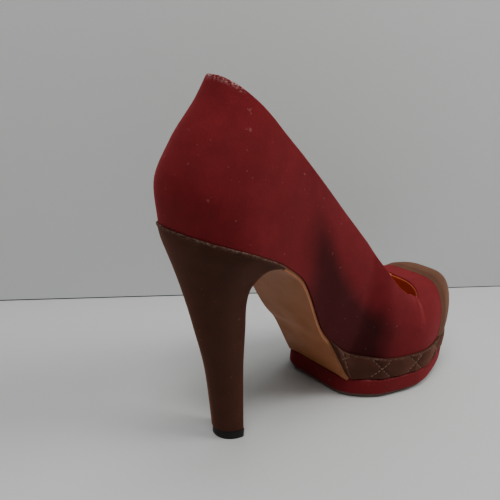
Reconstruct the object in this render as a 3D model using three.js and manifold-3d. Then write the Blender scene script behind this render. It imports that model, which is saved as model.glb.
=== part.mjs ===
// Platform pump, left shoe. Millimetres, +Z up, toe toward +X, the wearer's left toward +Y.
// One last gives every curved piece: its feather line, its plan outline and its cross-sections.
// "near" is the inner (medial) side toward -Y and "far" is the outer (lateral) side toward +Y.
import * as THREE from "three";
import { mergeVertices } from "three/addons/utils/BufferGeometryUtils.js";
import Module from "manifold-3d";

const wasm = await Module();
wasm.setup();

// Driving dimensions of the last
const LAST_LENGTH = 215; // back of the seat to the toe, along the floor
const BALL_WIDTH = 71; // feather line to feather line across the ball
const HEEL_HEIGHT = 114.5; // floor to the feather line at the back of the seat
const PLATFORM_HEIGHT = 24.5; // floor to the feather line under the ball
const TOE_SPRING = 5; // rise of the feather line at the toe
const COUNTER_HEIGHT = 60; // feather line to the topline at the back
const INSTEP_HEIGHT = 35.7; // feather line to the ridge where the throat ends
const TOE_EDGE_HEIGHT = 8.7; // upright edge of the toe at its very front
const THROAT_LENGTH = 172; // back of the seat to the front of the throat
const THROAT_START = 147; // back of the seat to where the topline starts to turn across
const THROAT_HEIGHT = 61.9; // floor to the topline there
const THROAT_NEAR = 29.3; // half width of the throat's opening on the near side
const THROAT_FAR = 30.3; // the same on the far side
const THROAT_FALL = 9; // length over which the ridge comes down to the instep, behind the throat

// Driving dimensions of the pieces
const UPPER_WALL = 1.8;
const CAP_THICKNESS = 1.1;
const INSOLE_THICKNESS = 2.5;
const SHANK_SOLE_THICKNESS = 1.8;
const SHANK_SOLE_INSET = 0.8; // the shank sole's edge inside the feather line
const QUILTED_LEDGE = 0.9; // how far the quilted layer stands out from the feather line
const LOWER_LAYER_LEDGE = 1.4; // the same for the lower platform layer
const LOWER_LAYER_TOP = 12.3; // floor to the top of the lower platform layer
const LOWER_LAYER_REAR = 117; // back of the seat to the platform's upright rear face
const PLATFORM_REAR_CORNER = 9; // rounding of the platform's two rear corners, from above
const WEDGE_START = 95; // back of the seat to where the platform's wedge leaves the feather line
const SOLE_SPRING = 8.5; // rise of the outsole at the toe
const SOLE_SPRING_START = 159; // back of the seat to where the outsole leaves the floor
const OUTSOLE_THICKNESS = 2.2;
const OUTSOLE_INSET = 0.6; // the outsole's edge inside the feather line
const HEEL_TIP_LENGTH = 11.2;
const HEEL_TIP_WIDTH = 18;
const HEEL_TIP_SETBACK = 35; // back of the seat to the back of the heel tip
const HEEL_SEAT_LENGTH = 46; // back of the seat to the front of the heel's breast
const BREAST_HOLLOW = 11; // how far the breast curves in behind a straight line from tip to seat
const HEEL_RIM_THICKNESS = 1.3; // upright rim around the top of the heel
const HEEL_RIM_LEDGE = 0.4; // how far that rim stands out from the feather line
const LIFT_THICKNESS = 4.8;
const FIT_GAP = 0.3; // between neighbouring pieces

// How finely the last is divided
const STATIONS = 44;
const SECTION_STEPS = 11;
const SKIRT_DEPTH = 9; // how far the last is carried on below the feather line, for the cuts
const CUTTER_REACH = 90; // half the width of a cutting prism
const THROAT_STEPS = 40;
const TOPLINE_STEPS = 100;
const CAP_LINE_STEPS = 40;
const OUTLINE_STEPS = 60;
const LINE_STEPS = 90;
const HEEL_RINGS = 16;
const HEEL_RING_POINTS = 28;
const MERGE_TOLERANCE = 1e-4;

const PITCH = HEEL_HEIGHT - PLATFORM_HEIGHT;

// Feather line from the side: at is a share of LAST_LENGTH, rise a share of PITCH above the platform
const FEATHER_LINE = [
  { at: 0.0, rise: 1.0 },
  { at: 0.12, rise: 0.912 },
  { at: 0.27, rise: 0.725 },
  { at: 0.43, rise: 0.24 },
  { at: 0.57, rise: 0.033 },
  { at: 0.68, rise: 0.004 },
  { at: 1.0, rise: 0.0 },
];

// Cross-sections: at is a share of LAST_LENGTH, near and far are half widths at the feather line as
// shares of BALL_WIDTH, the bulges swell each side above it, and round is the exponent of the section:
// 1 is an ellipse and less is boxier. shift moves the middle sideways, as a share of BALL_WIDTH.
const SECTIONS = [
  { at: 0.0, near: 0.376, far: 0.34, nearBulge: 0.02, farBulge: 0.02, round: 1.1, shift: 0 },
  { at: 0.12, near: 0.376, far: 0.34, nearBulge: 0.03, farBulge: 0.03, round: 1.05, shift: 0 },
  { at: 0.27, near: 0.339, far: 0.365, nearBulge: 0.1, farBulge: 0.06, round: 0.92, shift: 0 },
  { at: 0.42, near: 0.262, far: 0.34, nearBulge: 0.5, farBulge: 0.22, round: 0.7, shift: 0.011 },
  { at: 0.53, near: 0.25, far: 0.4, nearBulge: 0.62, farBulge: 0.16, round: 0.66, shift: 0.021 },
  { at: 0.64, near: 0.43, far: 0.465, nearBulge: 0.14, farBulge: 0.12, round: 0.66, shift: 0.028 },
  { at: 0.76, near: 0.49, far: 0.5, nearBulge: 0.08, farBulge: 0.08, round: 0.6, shift: 0.015 },
  { at: 0.88, near: 0.465, far: 0.448, nearBulge: 0.06, farBulge: 0.06, round: 0.5, shift: -0.017 },
  { at: 1.0, near: 0.474, far: 0.44, nearBulge: 0.06, farBulge: 0.06, round: 0.48, shift: -0.07 },
];

// Ridge of the last: at is a share of THROAT_LENGTH, lift a share of COUNTER_HEIGHT above the feather line
const RIDGE = [
  { at: 0.0, lift: 1.28 },
  { at: 0.16, lift: 1.3 },
  { at: 0.36, lift: 1.4 },
  { at: 0.57, lift: 1.55 },
  { at: 0.72, lift: 1.4 },
  { at: 0.79, lift: 1.15 },
  { at: 0.85, lift: 0.93 },
  { at: 0.9, lift: 0.76 },
];

// Vamp ahead of the throat: at is a share from the throat to the toe, lift a share of INSTEP_HEIGHT
const VAMP = [
  { at: 0.0, lift: 1.0 },
  { at: 0.4, lift: 0.967 },
  { at: 1.0, lift: 1.104 },
];

// Topline from the side: at is a share of THROAT_START, drop a share of the way from the
// counter's top down to THROAT_HEIGHT
const TOPLINE = [
  { at: 0.0, drop: 0.064 },
  { at: 0.082, drop: 0.013 },
  { at: 0.116, drop: 0.0 },
  { at: 0.15, drop: 0.02 },
  { at: 0.197, drop: 0.07 },
  { at: 0.272, drop: 0.168 },
  { at: 0.374, drop: 0.281 },
  { at: 0.493, drop: 0.412 },
  { at: 0.584, drop: 0.511 },
  { at: 0.675, drop: 0.615 },
  { at: 0.773, drop: 0.728 },
  { at: 0.847, drop: 0.835 },
  { at: 0.92, drop: 0.93 },
  { at: 1.0, drop: 1.0 },
];

// Toe cap's rear edge from above: out is a share of half the BALL_WIDTH, negative on the near side,
// and at a share of LAST_LENGTH
const CAP_LINE = [
  { out: -1.0, at: 0.855 },
  { out: -0.5, at: 0.877 },
  { out: 0.1, at: 0.868 },
  { out: 0.6, at: 0.876 },
  { out: 1.0, at: 0.85 },
];

// Back of the last from the side: up is a share of COUNTER_HEIGHT, lean a share of it too, forward
const BACK_CURVE = [
  { up: 0.0, lean: 0.0 },
  { up: 0.29, lean: -0.05 },
  { up: 0.58, lean: 0.06 },
  { up: 0.87, lean: 0.24 },
  { up: 1.3, lean: 0.4 },
];

// Heel from the tip up: up is a share of HEEL_HEIGHT at the heel's back, back is a share of the way
// from the tip's back to the seat's, hollow a share of BREAST_HOLLOW, spread widens from the tip to
// the seat, and tilt turns each section into the slope of the seat
const HEEL_SECTIONS = [
  { up: 0.0, back: 0.0, hollow: 0.0, spread: 0.0, tilt: 0 },
  { up: 0.34, back: 0.24, hollow: 0.42, spread: 0.03, tilt: 0 },
  { up: 0.57, back: 0.49, hollow: 0.68, spread: 0.14, tilt: 0.05 },
  { up: 0.7, back: 0.63, hollow: 0.92, spread: 0.28, tilt: 0.2 },
  { up: 0.8, back: 0.74, hollow: 1.0, spread: 0.43, tilt: 0.5 },
  { up: 0.9, back: 0.87, hollow: 0.85, spread: 0.69, tilt: 0.75 },
  { up: 0.95, back: 0.94, hollow: 0.7, spread: 0.85, tilt: 0.9 },
  { up: 1.0, back: 1.0, hollow: 0.0, spread: 1.0, tilt: 1 },
];

// Plan outline of the seat and of the toe
const SEAT_ROUND = 0.135; // the seat's round back, as a share of LAST_LENGTH
const TOE_ROUND_START = 0.76; // where the toe starts to round, as a share of LAST_LENGTH
const TOE_PLAN_POWER = 1.88; // exponents of the toe's outline from above, where 2 and 2 are an ellipse
const TOE_PLAN_ROOT = 1.9;
const TOE_DROP_START = 0.83; // where the ridge starts to fall to the toe, as a share of LAST_LENGTH
const TOE_DROP_POWER = 2.9; // exponent of that fall: more is a blunter toe
const BACK_CURVE_REACH = 0.42; // how far forward the back curve is felt, as a share of LAST_LENGTH
const BALL_AT = 0.74; // the ball's place, as a share of LAST_LENGTH
const THROAT_SQUARENESS = 3.4; // exponent of the throat's outline from above: 2 would be an ellipse
const RIM_DROP_START = 0.6; // share of the heel's height from which its sections come down to fit the rim
const TOPLINE_PLUNGE = 0.05; // how fast the side view line falls away past the throat's start, per mm

// Small helpers
const mix = (a, b, t) => a + (b - a) * t;
const clamp01 = (t) => Math.min(1, Math.max(0, t));
const ease = (t) => clamp01(t) ** 2 * (3 - 2 * clamp01(t));

// A smooth curve that never overshoots, through the rows of a table
function curveThrough(rows, key, value, keyScale = 1, valueScale = 1) {
  const xs = rows.map((row) => row[key] * keyScale);
  const ys = rows.map((row) => row[value] * valueScale);
  const last = xs.length - 1;
  const step = (i) => xs[i + 1] - xs[i];
  const rise = (i) => (ys[i + 1] - ys[i]) / step(i);
  const slopes = xs.map((_, i) => {
    if (i === 0) return rise(0);
    if (i === last) return rise(last - 1);
    if (rise(i - 1) * rise(i) <= 0) return 0;
    const before = 2 * step(i) + step(i - 1);
    const after = step(i) + 2 * step(i - 1);
    return (before + after) / (before / rise(i - 1) + after / rise(i));
  });
  return (x) => {
    if (x <= xs[0]) return ys[0] + slopes[0] * (x - xs[0]);
    if (x >= xs[last]) return ys[last] + slopes[last] * (x - xs[last]);
    const i = xs.findIndex((next, k) => k > 0 && x <= next) - 1;
    const t = (x - xs[i]) / step(i);
    const bend = step(i) * (slopes[i] * t * (1 - t) ** 2 - slopes[i + 1] * t ** 2 * (1 - t));
    return mix(ys[i], ys[i + 1], t * t * (3 - 2 * t)) + bend;
  };
}

// The last's own functions of x, its place along the floor
const featherRise = curveThrough(FEATHER_LINE, "at", "rise", LAST_LENGTH, PITCH);
const toeSpring = (x) => TOE_SPRING * clamp01((x / LAST_LENGTH - BALL_AT) / (1 - BALL_AT)) ** 2;
const featherHeight = (x) => PLATFORM_HEIGHT + featherRise(x) + toeSpring(x);
const nearWidth = curveThrough(SECTIONS, "at", "near", LAST_LENGTH, BALL_WIDTH);
const farWidth = curveThrough(SECTIONS, "at", "far", LAST_LENGTH, BALL_WIDTH);
const nearBulge = curveThrough(SECTIONS, "at", "nearBulge", LAST_LENGTH);
const farBulge = curveThrough(SECTIONS, "at", "farBulge", LAST_LENGTH);
const sectionRound = curveThrough(SECTIONS, "at", "round", LAST_LENGTH);
const middle = curveThrough(SECTIONS, "at", "shift", LAST_LENGTH, BALL_WIDTH);
const ridgeLift = curveThrough(RIDGE, "at", "lift", THROAT_LENGTH, COUNTER_HEIGHT);
const vampLift = curveThrough(VAMP, "at", "lift", LAST_LENGTH - THROAT_LENGTH, INSTEP_HEIGHT);
const backLean = curveThrough(BACK_CURVE, "up", "lean", COUNTER_HEIGHT, COUNTER_HEIGHT);
const outsoleRise = (x) =>
  SOLE_SPRING * Math.max(0, (x - SOLE_SPRING_START) / (LAST_LENGTH - SOLE_SPRING_START)) ** 2;

// How full the plan outline is at x: 0 at the seat's back and at the toe, 1 along the middle
function planFullness(x) {
  const seat = clamp01(x / (SEAT_ROUND * LAST_LENGTH));
  const toe = clamp01((x / LAST_LENGTH - TOE_ROUND_START) / (1 - TOE_ROUND_START));
  return Math.sqrt(1 - (1 - seat) ** 2) * (1 - toe ** TOE_PLAN_POWER) ** (1 / TOE_PLAN_ROOT);
}

// Height of the ridge above the feather line
function ridgeHeight(x) {
  const behind = RIDGE[RIDGE.length - 1].at * THROAT_LENGTH;
  const blend = ease((x - behind) / THROAT_FALL);
  const full = mix(ridgeLift(Math.min(x, behind)), vampLift(Math.max(0, x - THROAT_LENGTH)), blend);
  const fall = clamp01((x / LAST_LENGTH - TOE_DROP_START) / (1 - TOE_DROP_START));
  return mix(TOE_EDGE_HEIGHT, full, Math.sqrt(1 - fall ** TOE_DROP_POWER));
}

// Point of the last at station x, turned up from the feather line by angle, on the near or far side
function lastPoint(x, angle, near) {
  const up = ridgeHeight(x) * Math.sin(angle);
  const width = (near ? nearWidth(x) : farWidth(x)) * planFullness(x);
  const bulge = 1 + (near ? nearBulge(x) : farBulge(x)) * Math.sin(2 * angle);
  const across = width * bulge * Math.max(0, Math.cos(angle)) ** sectionRound(x);
  const felt = 1 - ease(x / (BACK_CURVE_REACH * LAST_LENGTH));
  return new THREE.Vector3(
    x + backLean(up) * felt,
    middle(x) + (near ? -across : across),
    featherHeight(x) + up,
  );
}

// Solids: a closed mesh becomes a manifold solid, and the other way round
function solidOf(geometry) {
  geometry.deleteAttribute("normal");
  geometry.deleteAttribute("uv");
  const merged = mergeVertices(geometry, MERGE_TOLERANCE);
  const mesh = new wasm.Mesh({
    numProp: 3,
    vertProperties: new Float32Array(merged.attributes.position.array),
    triVerts: new Uint32Array(merged.index.array),
  });
  mesh.merge();
  return new wasm.Manifold(mesh);
}

function geometryOf(solid) {
  const mesh = solid.getMesh();
  const geometry = new THREE.BufferGeometry();
  geometry.setAttribute("position", new THREE.BufferAttribute(new Float32Array(mesh.vertProperties), 3));
  geometry.setIndex(new THREE.BufferAttribute(new Uint32Array(mesh.triVerts), 1));
  return geometry;
}

function indexedSolid(points, faces) {
  const geometry = new THREE.BufferGeometry();
  const flat = points.flatMap((p) => [p.x, p.y, p.z]);
  geometry.setAttribute("position", new THREE.Float32BufferAttribute(flat, 3));
  geometry.setIndex(faces);
  return solidOf(geometry);
}

// The last as a closed form, grown outward by grow (or inward where it is negative).
// Columns run from the bottom of the skirt up one side; near and far columns share the ridge
// and the two end lines.
function lastForm(grow) {
  const points = [];
  const columns = [];
  const add = (point) => points.push(point) - 1;
  for (let i = 0; i <= STATIONS; i += 1) {
    const x = (LAST_LENGTH / 2) * (1 - Math.cos((Math.PI * i) / STATIONS));
    const ends = i === 0 || i === STATIONS;
    const sides = { near: [], far: [] };
    for (let k = 0; k <= SECTION_STEPS; k += 1) {
      const angle = (Math.PI / 2) * (k / SECTION_STEPS);
      const shared = ends || k === SECTION_STEPS;
      sides.near.push(add(lastPoint(x, angle, true)));
      sides.far.push(shared ? sides.near[k] : add(lastPoint(x, angle, false)));
    }
    for (const side of ["near", "far"]) {
      const foot = sides[side][0];
      const shared = ends && side === "far";
      const below = points[foot].clone().setZ(points[foot].z - SKIRT_DEPTH);
      sides[side].unshift(shared ? sides.near[0] : add(below));
    }
    columns.push(sides);
  }
  const faces = [];
  const quad = (a, b, c, d) => {
    if (a !== b && b !== c && a !== c) faces.push(a, b, c);
    if (a !== c && c !== d && a !== d) faces.push(a, c, d);
  };
  for (let i = 0; i < STATIONS; i += 1) {
    const [here, next] = [columns[i], columns[i + 1]];
    for (let k = 0; k <= SECTION_STEPS; k += 1) {
      quad(here.near[k], next.near[k], next.near[k + 1], here.near[k + 1]);
      quad(here.far[k + 1], next.far[k + 1], next.far[k], here.far[k]);
    }
  }
  const skin = new THREE.BufferGeometry();
  const flat = points.flatMap((p) => [p.x, p.y, p.z]);
  skin.setAttribute("position", new THREE.Float32BufferAttribute(flat, 3));
  skin.setIndex([...faces]);
  skin.computeVertexNormals();
  const normals = skin.attributes.normal;
  const grown = points.map((p, i) => p.clone().add(
    new THREE.Vector3().fromBufferAttribute(normals, i).multiplyScalar(grow),
  ));
  for (const sides of columns) {
    for (const side of [sides.near, sides.far]) {
      const foot = grown[side[1]];
      grown[side[0]].set(foot.x, foot.y, points[side[0]].z);
    }
  }
  for (let i = 0; i < STATIONS; i += 1) {
    const [here, next] = [columns[i], columns[i + 1]];
    quad(here.far[0], next.far[0], next.near[0], here.near[0]);
  }
  return indexedSolid(grown, faces);
}

// How far the cutting outlines run past the last
const BEYOND = 40;
const FAR_BELOW = -60;
const FAR_ABOVE = HEEL_HEIGHT + 2.5 * COUNTER_HEIGHT;

// A side view outline, given as [x, z] points, carried right across the shoe
function acrossPrism(outline) {
  const shape = new THREE.Shape(outline.map(([x, z]) => new THREE.Vector2(x, z)));
  const geometry = new THREE.ExtrudeGeometry(shape, { depth: 2 * CUTTER_REACH, bevelEnabled: false });
  geometry.rotateX(Math.PI / 2);
  geometry.translate(0, CUTTER_REACH, 0);
  return solidOf(geometry);
}

// A plan outline, given as [x, y] points, carried from below the floor to above the shoe
function uprightPrism(outline) {
  const shape = new THREE.Shape(outline.map(([x, y]) => new THREE.Vector2(x, y)));
  const depth = FAR_ABOVE - FAR_BELOW;
  const geometry = new THREE.ExtrudeGeometry(shape, { depth, bevelEnabled: false });
  geometry.translate(0, 0, FAR_BELOW);
  return solidOf(geometry);
}

// Places along x, from one end to the other
const placesAlong = (from, to, count) =>
  Array.from({ length: count + 1 }, (_, i) => mix(from, to, i / count));

// Side view line at a set distance above a height function of x, measured square to it
function parallelLine(height, distance, from, to, count) {
  return placesAlong(from, to, count).map((x) => {
    const slope = height(x + 0.5) - height(x - 0.5);
    const square = Math.hypot(1, slope);
    return [x - (slope / square) * distance, height(x) + distance / square];
  });
}

// All that lies below, or above, such a line, right across the shoe
const belowLine = (height, distance = 0) => acrossPrism([
  [-BEYOND, FAR_BELOW],
  [LAST_LENGTH + BEYOND, FAR_BELOW],
  ...parallelLine(height, distance, LAST_LENGTH + BEYOND, -BEYOND, LINE_STEPS),
]);
const aboveLine = (height, distance = 0) => acrossPrism([
  ...parallelLine(height, distance, -BEYOND, LAST_LENGTH + BEYOND, LINE_STEPS),
  [LAST_LENGTH + BEYOND, FAR_ABOVE],
  [-BEYOND, FAR_ABOVE],
]);

// All that lies ahead of a place along x
const aheadOf = (x) => acrossPrism([
  [x, FAR_BELOW],
  [LAST_LENGTH + BEYOND, FAR_BELOW],
  [LAST_LENGTH + BEYOND, FAR_ABOVE],
  [x, FAR_ABOVE],
]);

// Plan outline of the feather line from rear to toe, moved outward by grow, near side first.
// A rear corner radius rounds the two corners where the outline is cut off at rear.
function planOutline(grow, rear = 0, corner = 0) {
  const edge = (x, side) => {
    const width = (side < 0 ? nearWidth(x) : farWidth(x)) * planFullness(x);
    const short = Math.max(0, corner - (x - rear));
    const inset = corner - Math.sqrt(corner ** 2 - short ** 2);
    return new THREE.Vector2(x, middle(x) + side * (width - inset));
  };
  const outline = Array.from({ length: 2 * OUTLINE_STEPS }, (_, i) => {
    const side = i < OUTLINE_STEPS ? -1 : 1;
    const turn = (Math.PI * (i < OUTLINE_STEPS ? i : 2 * OUTLINE_STEPS - i)) / OUTLINE_STEPS;
    return edge(mix(rear, LAST_LENGTH, (1 - Math.cos(turn)) / 2), side);
  });
  return outline.map((point, i) => {
    const before = outline[(i + outline.length - 1) % outline.length];
    const after = outline[(i + 1) % outline.length];
    const along = after.clone().sub(before).normalize();
    return [point.x + along.y * grow, point.y - along.x * grow];
  });
}

const belowFeather = belowLine(featherHeight);
// The opening: above the topline's side view line, and inside the throat's outline from above,
// which is straight along the sides and turns across at the front
const counterTop = HEEL_HEIGHT + COUNTER_HEIGHT;
const toplineDrop = curveThrough(TOPLINE, "at", "drop", THROAT_START, counterTop - THROAT_HEIGHT);
const toplineHeight = (x) =>
  counterTop - toplineDrop(x) - TOPLINE_PLUNGE * Math.max(0, x - THROAT_START) ** 2;
const throatRound = THROAT_LENGTH - THROAT_START;
const pastThroat = THROAT_LENGTH + FIT_GAP;
const throatFront = placesAlong(-Math.PI / 2, Math.PI / 2, THROAT_STEPS).map((turn) => {
  const share = Math.sign(turn) * Math.abs(Math.sin(turn)) ** (2 / THROAT_SQUARENESS);
  const ahead = Math.cos(turn) ** (2 / THROAT_SQUARENESS);
  const half = turn < 0 ? THROAT_NEAR : THROAT_FAR;
  return [THROAT_START + throatRound * ahead, middle(THROAT_START) + share * half];
});
const aboveTopline = acrossPrism([
  ...placesAlong(-BEYOND, pastThroat, TOPLINE_STEPS).map((x) => [x, toplineHeight(x)]),
  [pastThroat, FAR_ABOVE],
  [-BEYOND, FAR_ABOVE],
]).intersect(uprightPrism([
  [-BEYOND, -CUTTER_REACH],
  [THROAT_START, -CUTTER_REACH],
  ...throatFront,
  [THROAT_START, CUTTER_REACH],
  [-BEYOND, CUTTER_REACH],
]));

// Upper: one hollow wall, open at the topline and underneath
const outerForm = lastForm(0);
const innerForm = lastForm(-UPPER_WALL);
const upper = outerForm.subtract(innerForm).subtract(belowFeather).subtract(aboveTopline);

// Toe cap: the band between two larger forms, ahead of a curved line over the vamp
const capLine = curveThrough(CAP_LINE, "out", "at", BALL_WIDTH / 2, LAST_LENGTH);
const capRegion = uprightPrism([
  ...placesAlong(-CUTTER_REACH, CUTTER_REACH, CAP_LINE_STEPS).map((y) => [capLine(y), y]),
  [LAST_LENGTH + BEYOND, CUTTER_REACH],
  [LAST_LENGTH + BEYOND, -CUTTER_REACH],
].reverse());
const toeCap = lastForm(FIT_GAP + CAP_THICKNESS)
  .subtract(lastForm(FIT_GAP))
  .subtract(belowFeather)
  .intersect(capRegion);

// Insole: a board inside the wall, following the feather line
const insole = lastForm(-UPPER_WALL - FIT_GAP)
  .intersect(aboveLine(featherHeight, FIT_GAP))
  .intersect(belowLine(featherHeight, FIT_GAP + INSOLE_THICKNESS));

// Side view lines of the platform: the tops of its layers, and the wedge's underside, which
// leaves the feather line at the arch and runs straight down to the lower layer's rear edge
const lowerLayerTop = (x) => LOWER_LAYER_TOP + outsoleRise(x);
const outsoleTop = (x) => OUTSOLE_THICKNESS + outsoleRise(x);
const wedgeFoot = LOWER_LAYER_REAR + SHANK_SOLE_THICKNESS + FIT_GAP;
const wedgeSlope = (featherHeight(WEDGE_START) - LOWER_LAYER_TOP) / (wedgeFoot - WEDGE_START);
const soleLine = (x) => (x < WEDGE_START
  ? featherHeight(x)
  : Math.max(FAR_BELOW / 2, featherHeight(WEDGE_START) - wedgeSlope * (x - WEDGE_START)));

// Quilted layer: the wedge between the upper and the lower layer
const quiltedPlatform = uprightPrism(planOutline(QUILTED_LEDGE))
  .intersect(belowLine(featherHeight, -FIT_GAP))
  .intersect(aboveLine(soleLine))
  .intersect(aboveLine(lowerLayerTop, FIT_GAP))
  .intersect(aheadOf(WEDGE_START));

// Lower platform layer and the outsole under it
const lowerLayer = uprightPrism(planOutline(LOWER_LAYER_LEDGE, LOWER_LAYER_REAR, PLATFORM_REAR_CORNER))
  .intersect(belowLine(lowerLayerTop))
  .intersect(aboveLine(outsoleTop, FIT_GAP));
const outsole = uprightPrism(planOutline(-OUTSOLE_INSET, LOWER_LAYER_REAR, PLATFORM_REAR_CORNER))
  .intersect(belowLine(outsoleTop))
  .intersect(aboveLine(outsoleRise));

// Shank sole: from the heel's breast along the feather line, then down the wedge
const shankSole = uprightPrism(planOutline(-SHANK_SOLE_INSET))
  .intersect(belowLine(soleLine, -FIT_GAP))
  .intersect(aboveLine(soleLine, -FIT_GAP - SHANK_SOLE_THICKNESS))
  .intersect(aboveLine(lowerLayerTop, FIT_GAP))
  .intersect(aheadOf(HEEL_SEAT_LENGTH + FIT_GAP));

// Heel: rings from the tip to the seat, each a D with its round side to the back
const heelBack = curveThrough(HEEL_SECTIONS, "up", "back");
const heelHollow = curveThrough(HEEL_SECTIONS, "up", "hollow", 1, BREAST_HOLLOW);
const heelSpread = curveThrough(HEEL_SECTIONS, "up", "spread");
const heelTilt = curveThrough(HEEL_SECTIONS, "up", "tilt");

function heelRing(up, level) {
  const back = mix(HEEL_TIP_SETBACK, -HEEL_RIM_LEDGE, heelBack(up));
  const front = mix(HEEL_TIP_SETBACK + HEEL_TIP_LENGTH, HEEL_SEAT_LENGTH, up) - heelHollow(up);
  const spread = heelSpread(up);
  return Array.from({ length: HEEL_RING_POINTS + 1 }, (_, i) => {
    const turn = (Math.PI * i) / HEEL_RING_POINTS;
    const behind = 1 - Math.sin(turn);
    const x = mix(back, front, behind);
    const near = i <= HEEL_RING_POINTS / 2;
    const seatPlace = mix(0, HEEL_SEAT_LENGTH, behind);
    const seatWidth = (near ? nearWidth(seatPlace) : farWidth(seatPlace)) * planFullness(seatPlace);
    const seatAcross = (near ? -1 : 1) * (seatWidth + HEEL_RIM_LEDGE * Math.abs(Math.cos(turn)));
    const tipAcross = -Math.cos(turn) * (HEEL_TIP_WIDTH / 2);
    const slope = heelTilt(up) * (featherHeight(Math.max(0, x)) - HEEL_HEIGHT);
    return new THREE.Vector3(x, mix(tipAcross, seatAcross, spread), level + slope);
  });
}

function ringedSolid(rings) {
  const size = rings[0].length;
  const points = rings.flat();
  const faces = [];
  for (let r = 0; r + 1 < rings.length; r += 1) {
    for (let i = 0; i < size; i += 1) {
      const next = (i + 1) % size;
      const [a, b, c, d] = [r * size + i, r * size + next, (r + 1) * size + next, (r + 1) * size + i];
      faces.push(a, c, b, a, d, c);
    }
  }
  const top = (rings.length - 1) * size;
  for (let i = 1; i + 1 < size; i += 1) {
    faces.push(0, i, i + 1, top, top + i + 1, top + i);
  }
  return indexedSolid(points, faces);
}

const heelBottom = LIFT_THICKNESS + FIT_GAP;
const rimDrop = HEEL_RIM_THICKNESS + FIT_GAP;
const heelRings = placesAlong(heelBottom / HEEL_HEIGHT, 1, HEEL_RINGS).map((up) =>
  heelRing(up, up * HEEL_HEIGHT - ease((up - RIM_DROP_START) / (1 - RIM_DROP_START)) * rimDrop));
const heelTop = heelRing(1, HEEL_HEIGHT + SKIRT_DEPTH);
const heel = ringedSolid([...heelRings, heelTop]).intersect(belowLine(featherHeight, -FIT_GAP));
const heelLift = ringedSolid([heelRing(0, 0), heelRing(0, LIFT_THICKNESS)]);

// Colours and finishes
const finish = (color, roughness) => new THREE.MeshStandardMaterial({ color, roughness, metalness: 0 });
const burgundySuede = finish(0x69191f, 0.95);
const brownSuede = finish(0x2e1913, 0.95);
const orangeLeather = finish(0x8a3f14, 0.7);
const tanLeather = finish(0x6b452e, 0.6);
const darkRubber = finish(0x1b1210, 0.8);

const pieces = [
  { name: "upper", solid: upper, material: burgundySuede },
  { name: "toe_cap", solid: toeCap, material: brownSuede },
  { name: "insole", solid: insole, material: orangeLeather },
  { name: "quilted_platform", solid: quiltedPlatform, material: brownSuede },
  { name: "platform", solid: lowerLayer, material: burgundySuede },
  { name: "outsole", solid: outsole, material: tanLeather },
  { name: "shank_sole", solid: shankSole, material: tanLeather },
  { name: "heel", solid: heel, material: brownSuede },
  { name: "heel_lift", solid: heelLift, material: darkRubber },
];

const shoe = new THREE.Group();
for (const piece of pieces) {
  const mesh = new THREE.Mesh(geometryOf(piece.solid), piece.material);
  mesh.name = piece.name;
  shoe.add(mesh);
}

// The origin is on the floor, under the middle of the shoe's box
const box = new THREE.Box3().setFromObject(shoe);
const centre = box.getCenter(new THREE.Vector3());
for (const mesh of shoe.children) mesh.position.set(-centre.x, -centre.y, -box.min.z);

export default shoe;
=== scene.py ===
"""Looks of the platform pump: a left shoe in burgundy suede with a brown suede cap, platform and heel.

All lengths are in metres. The last's own functions are repeated here, so that every fine surface lies
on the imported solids. "near" is the inner side toward -Y and "far" is the outer side toward +Y.
"""

import itertools
import logging
import math
from dataclasses import dataclass
from enum import Enum
from typing import Callable, Optional, Sequence

import bpy
import numpy as np
from mathutils import Matrix, Vector


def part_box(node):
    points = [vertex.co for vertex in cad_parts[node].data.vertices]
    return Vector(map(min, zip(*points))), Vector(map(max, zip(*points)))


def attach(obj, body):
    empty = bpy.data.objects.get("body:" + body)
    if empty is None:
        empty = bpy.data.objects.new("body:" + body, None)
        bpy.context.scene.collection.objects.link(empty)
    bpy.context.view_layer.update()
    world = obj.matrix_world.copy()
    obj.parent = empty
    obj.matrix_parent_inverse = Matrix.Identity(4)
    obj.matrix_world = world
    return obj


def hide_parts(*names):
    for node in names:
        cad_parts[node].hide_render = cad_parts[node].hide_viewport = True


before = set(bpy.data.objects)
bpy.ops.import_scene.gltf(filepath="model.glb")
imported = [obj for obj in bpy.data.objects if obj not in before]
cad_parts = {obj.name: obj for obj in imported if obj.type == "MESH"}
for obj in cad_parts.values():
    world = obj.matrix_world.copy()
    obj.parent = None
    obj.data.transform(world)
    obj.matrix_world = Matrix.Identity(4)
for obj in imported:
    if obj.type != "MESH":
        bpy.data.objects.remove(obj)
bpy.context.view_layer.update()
LOG = logging.getLogger("pump")

Table = tuple[tuple[float, ...], ...]
Colour = tuple[float, float, float]
Places = np.ndarray
Object = bpy.types.Object
Socket = bpy.types.NodeSocket
Material = bpy.types.Material
NodeTree = bpy.types.NodeTree

# Points closer than this become one
WELD = 2e-6
# Keeps a division by a length of nothing away from zero
TINY = 1e-15
# Halvings of a search for a place on the last, each of which doubles its exactness
HALVINGS = 40
NODE_SPACING = 180
# Shading angles, in degrees, below which an edge looks smooth
SOFT_EDGES = 60.0
FIRM_EDGES = 40.0
SLAB_EDGES = 35.0


class Side(Enum):
    """The two sides of the shoe, with the sign of their direction along Y."""

    NEAR = -1
    FAR = 1


def ease(share: Places) -> Places:
    """A smooth step from 0 to 1."""
    held = np.clip(share, 0.0, 1.0)
    return held * held * (3 - 2 * held)


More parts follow.
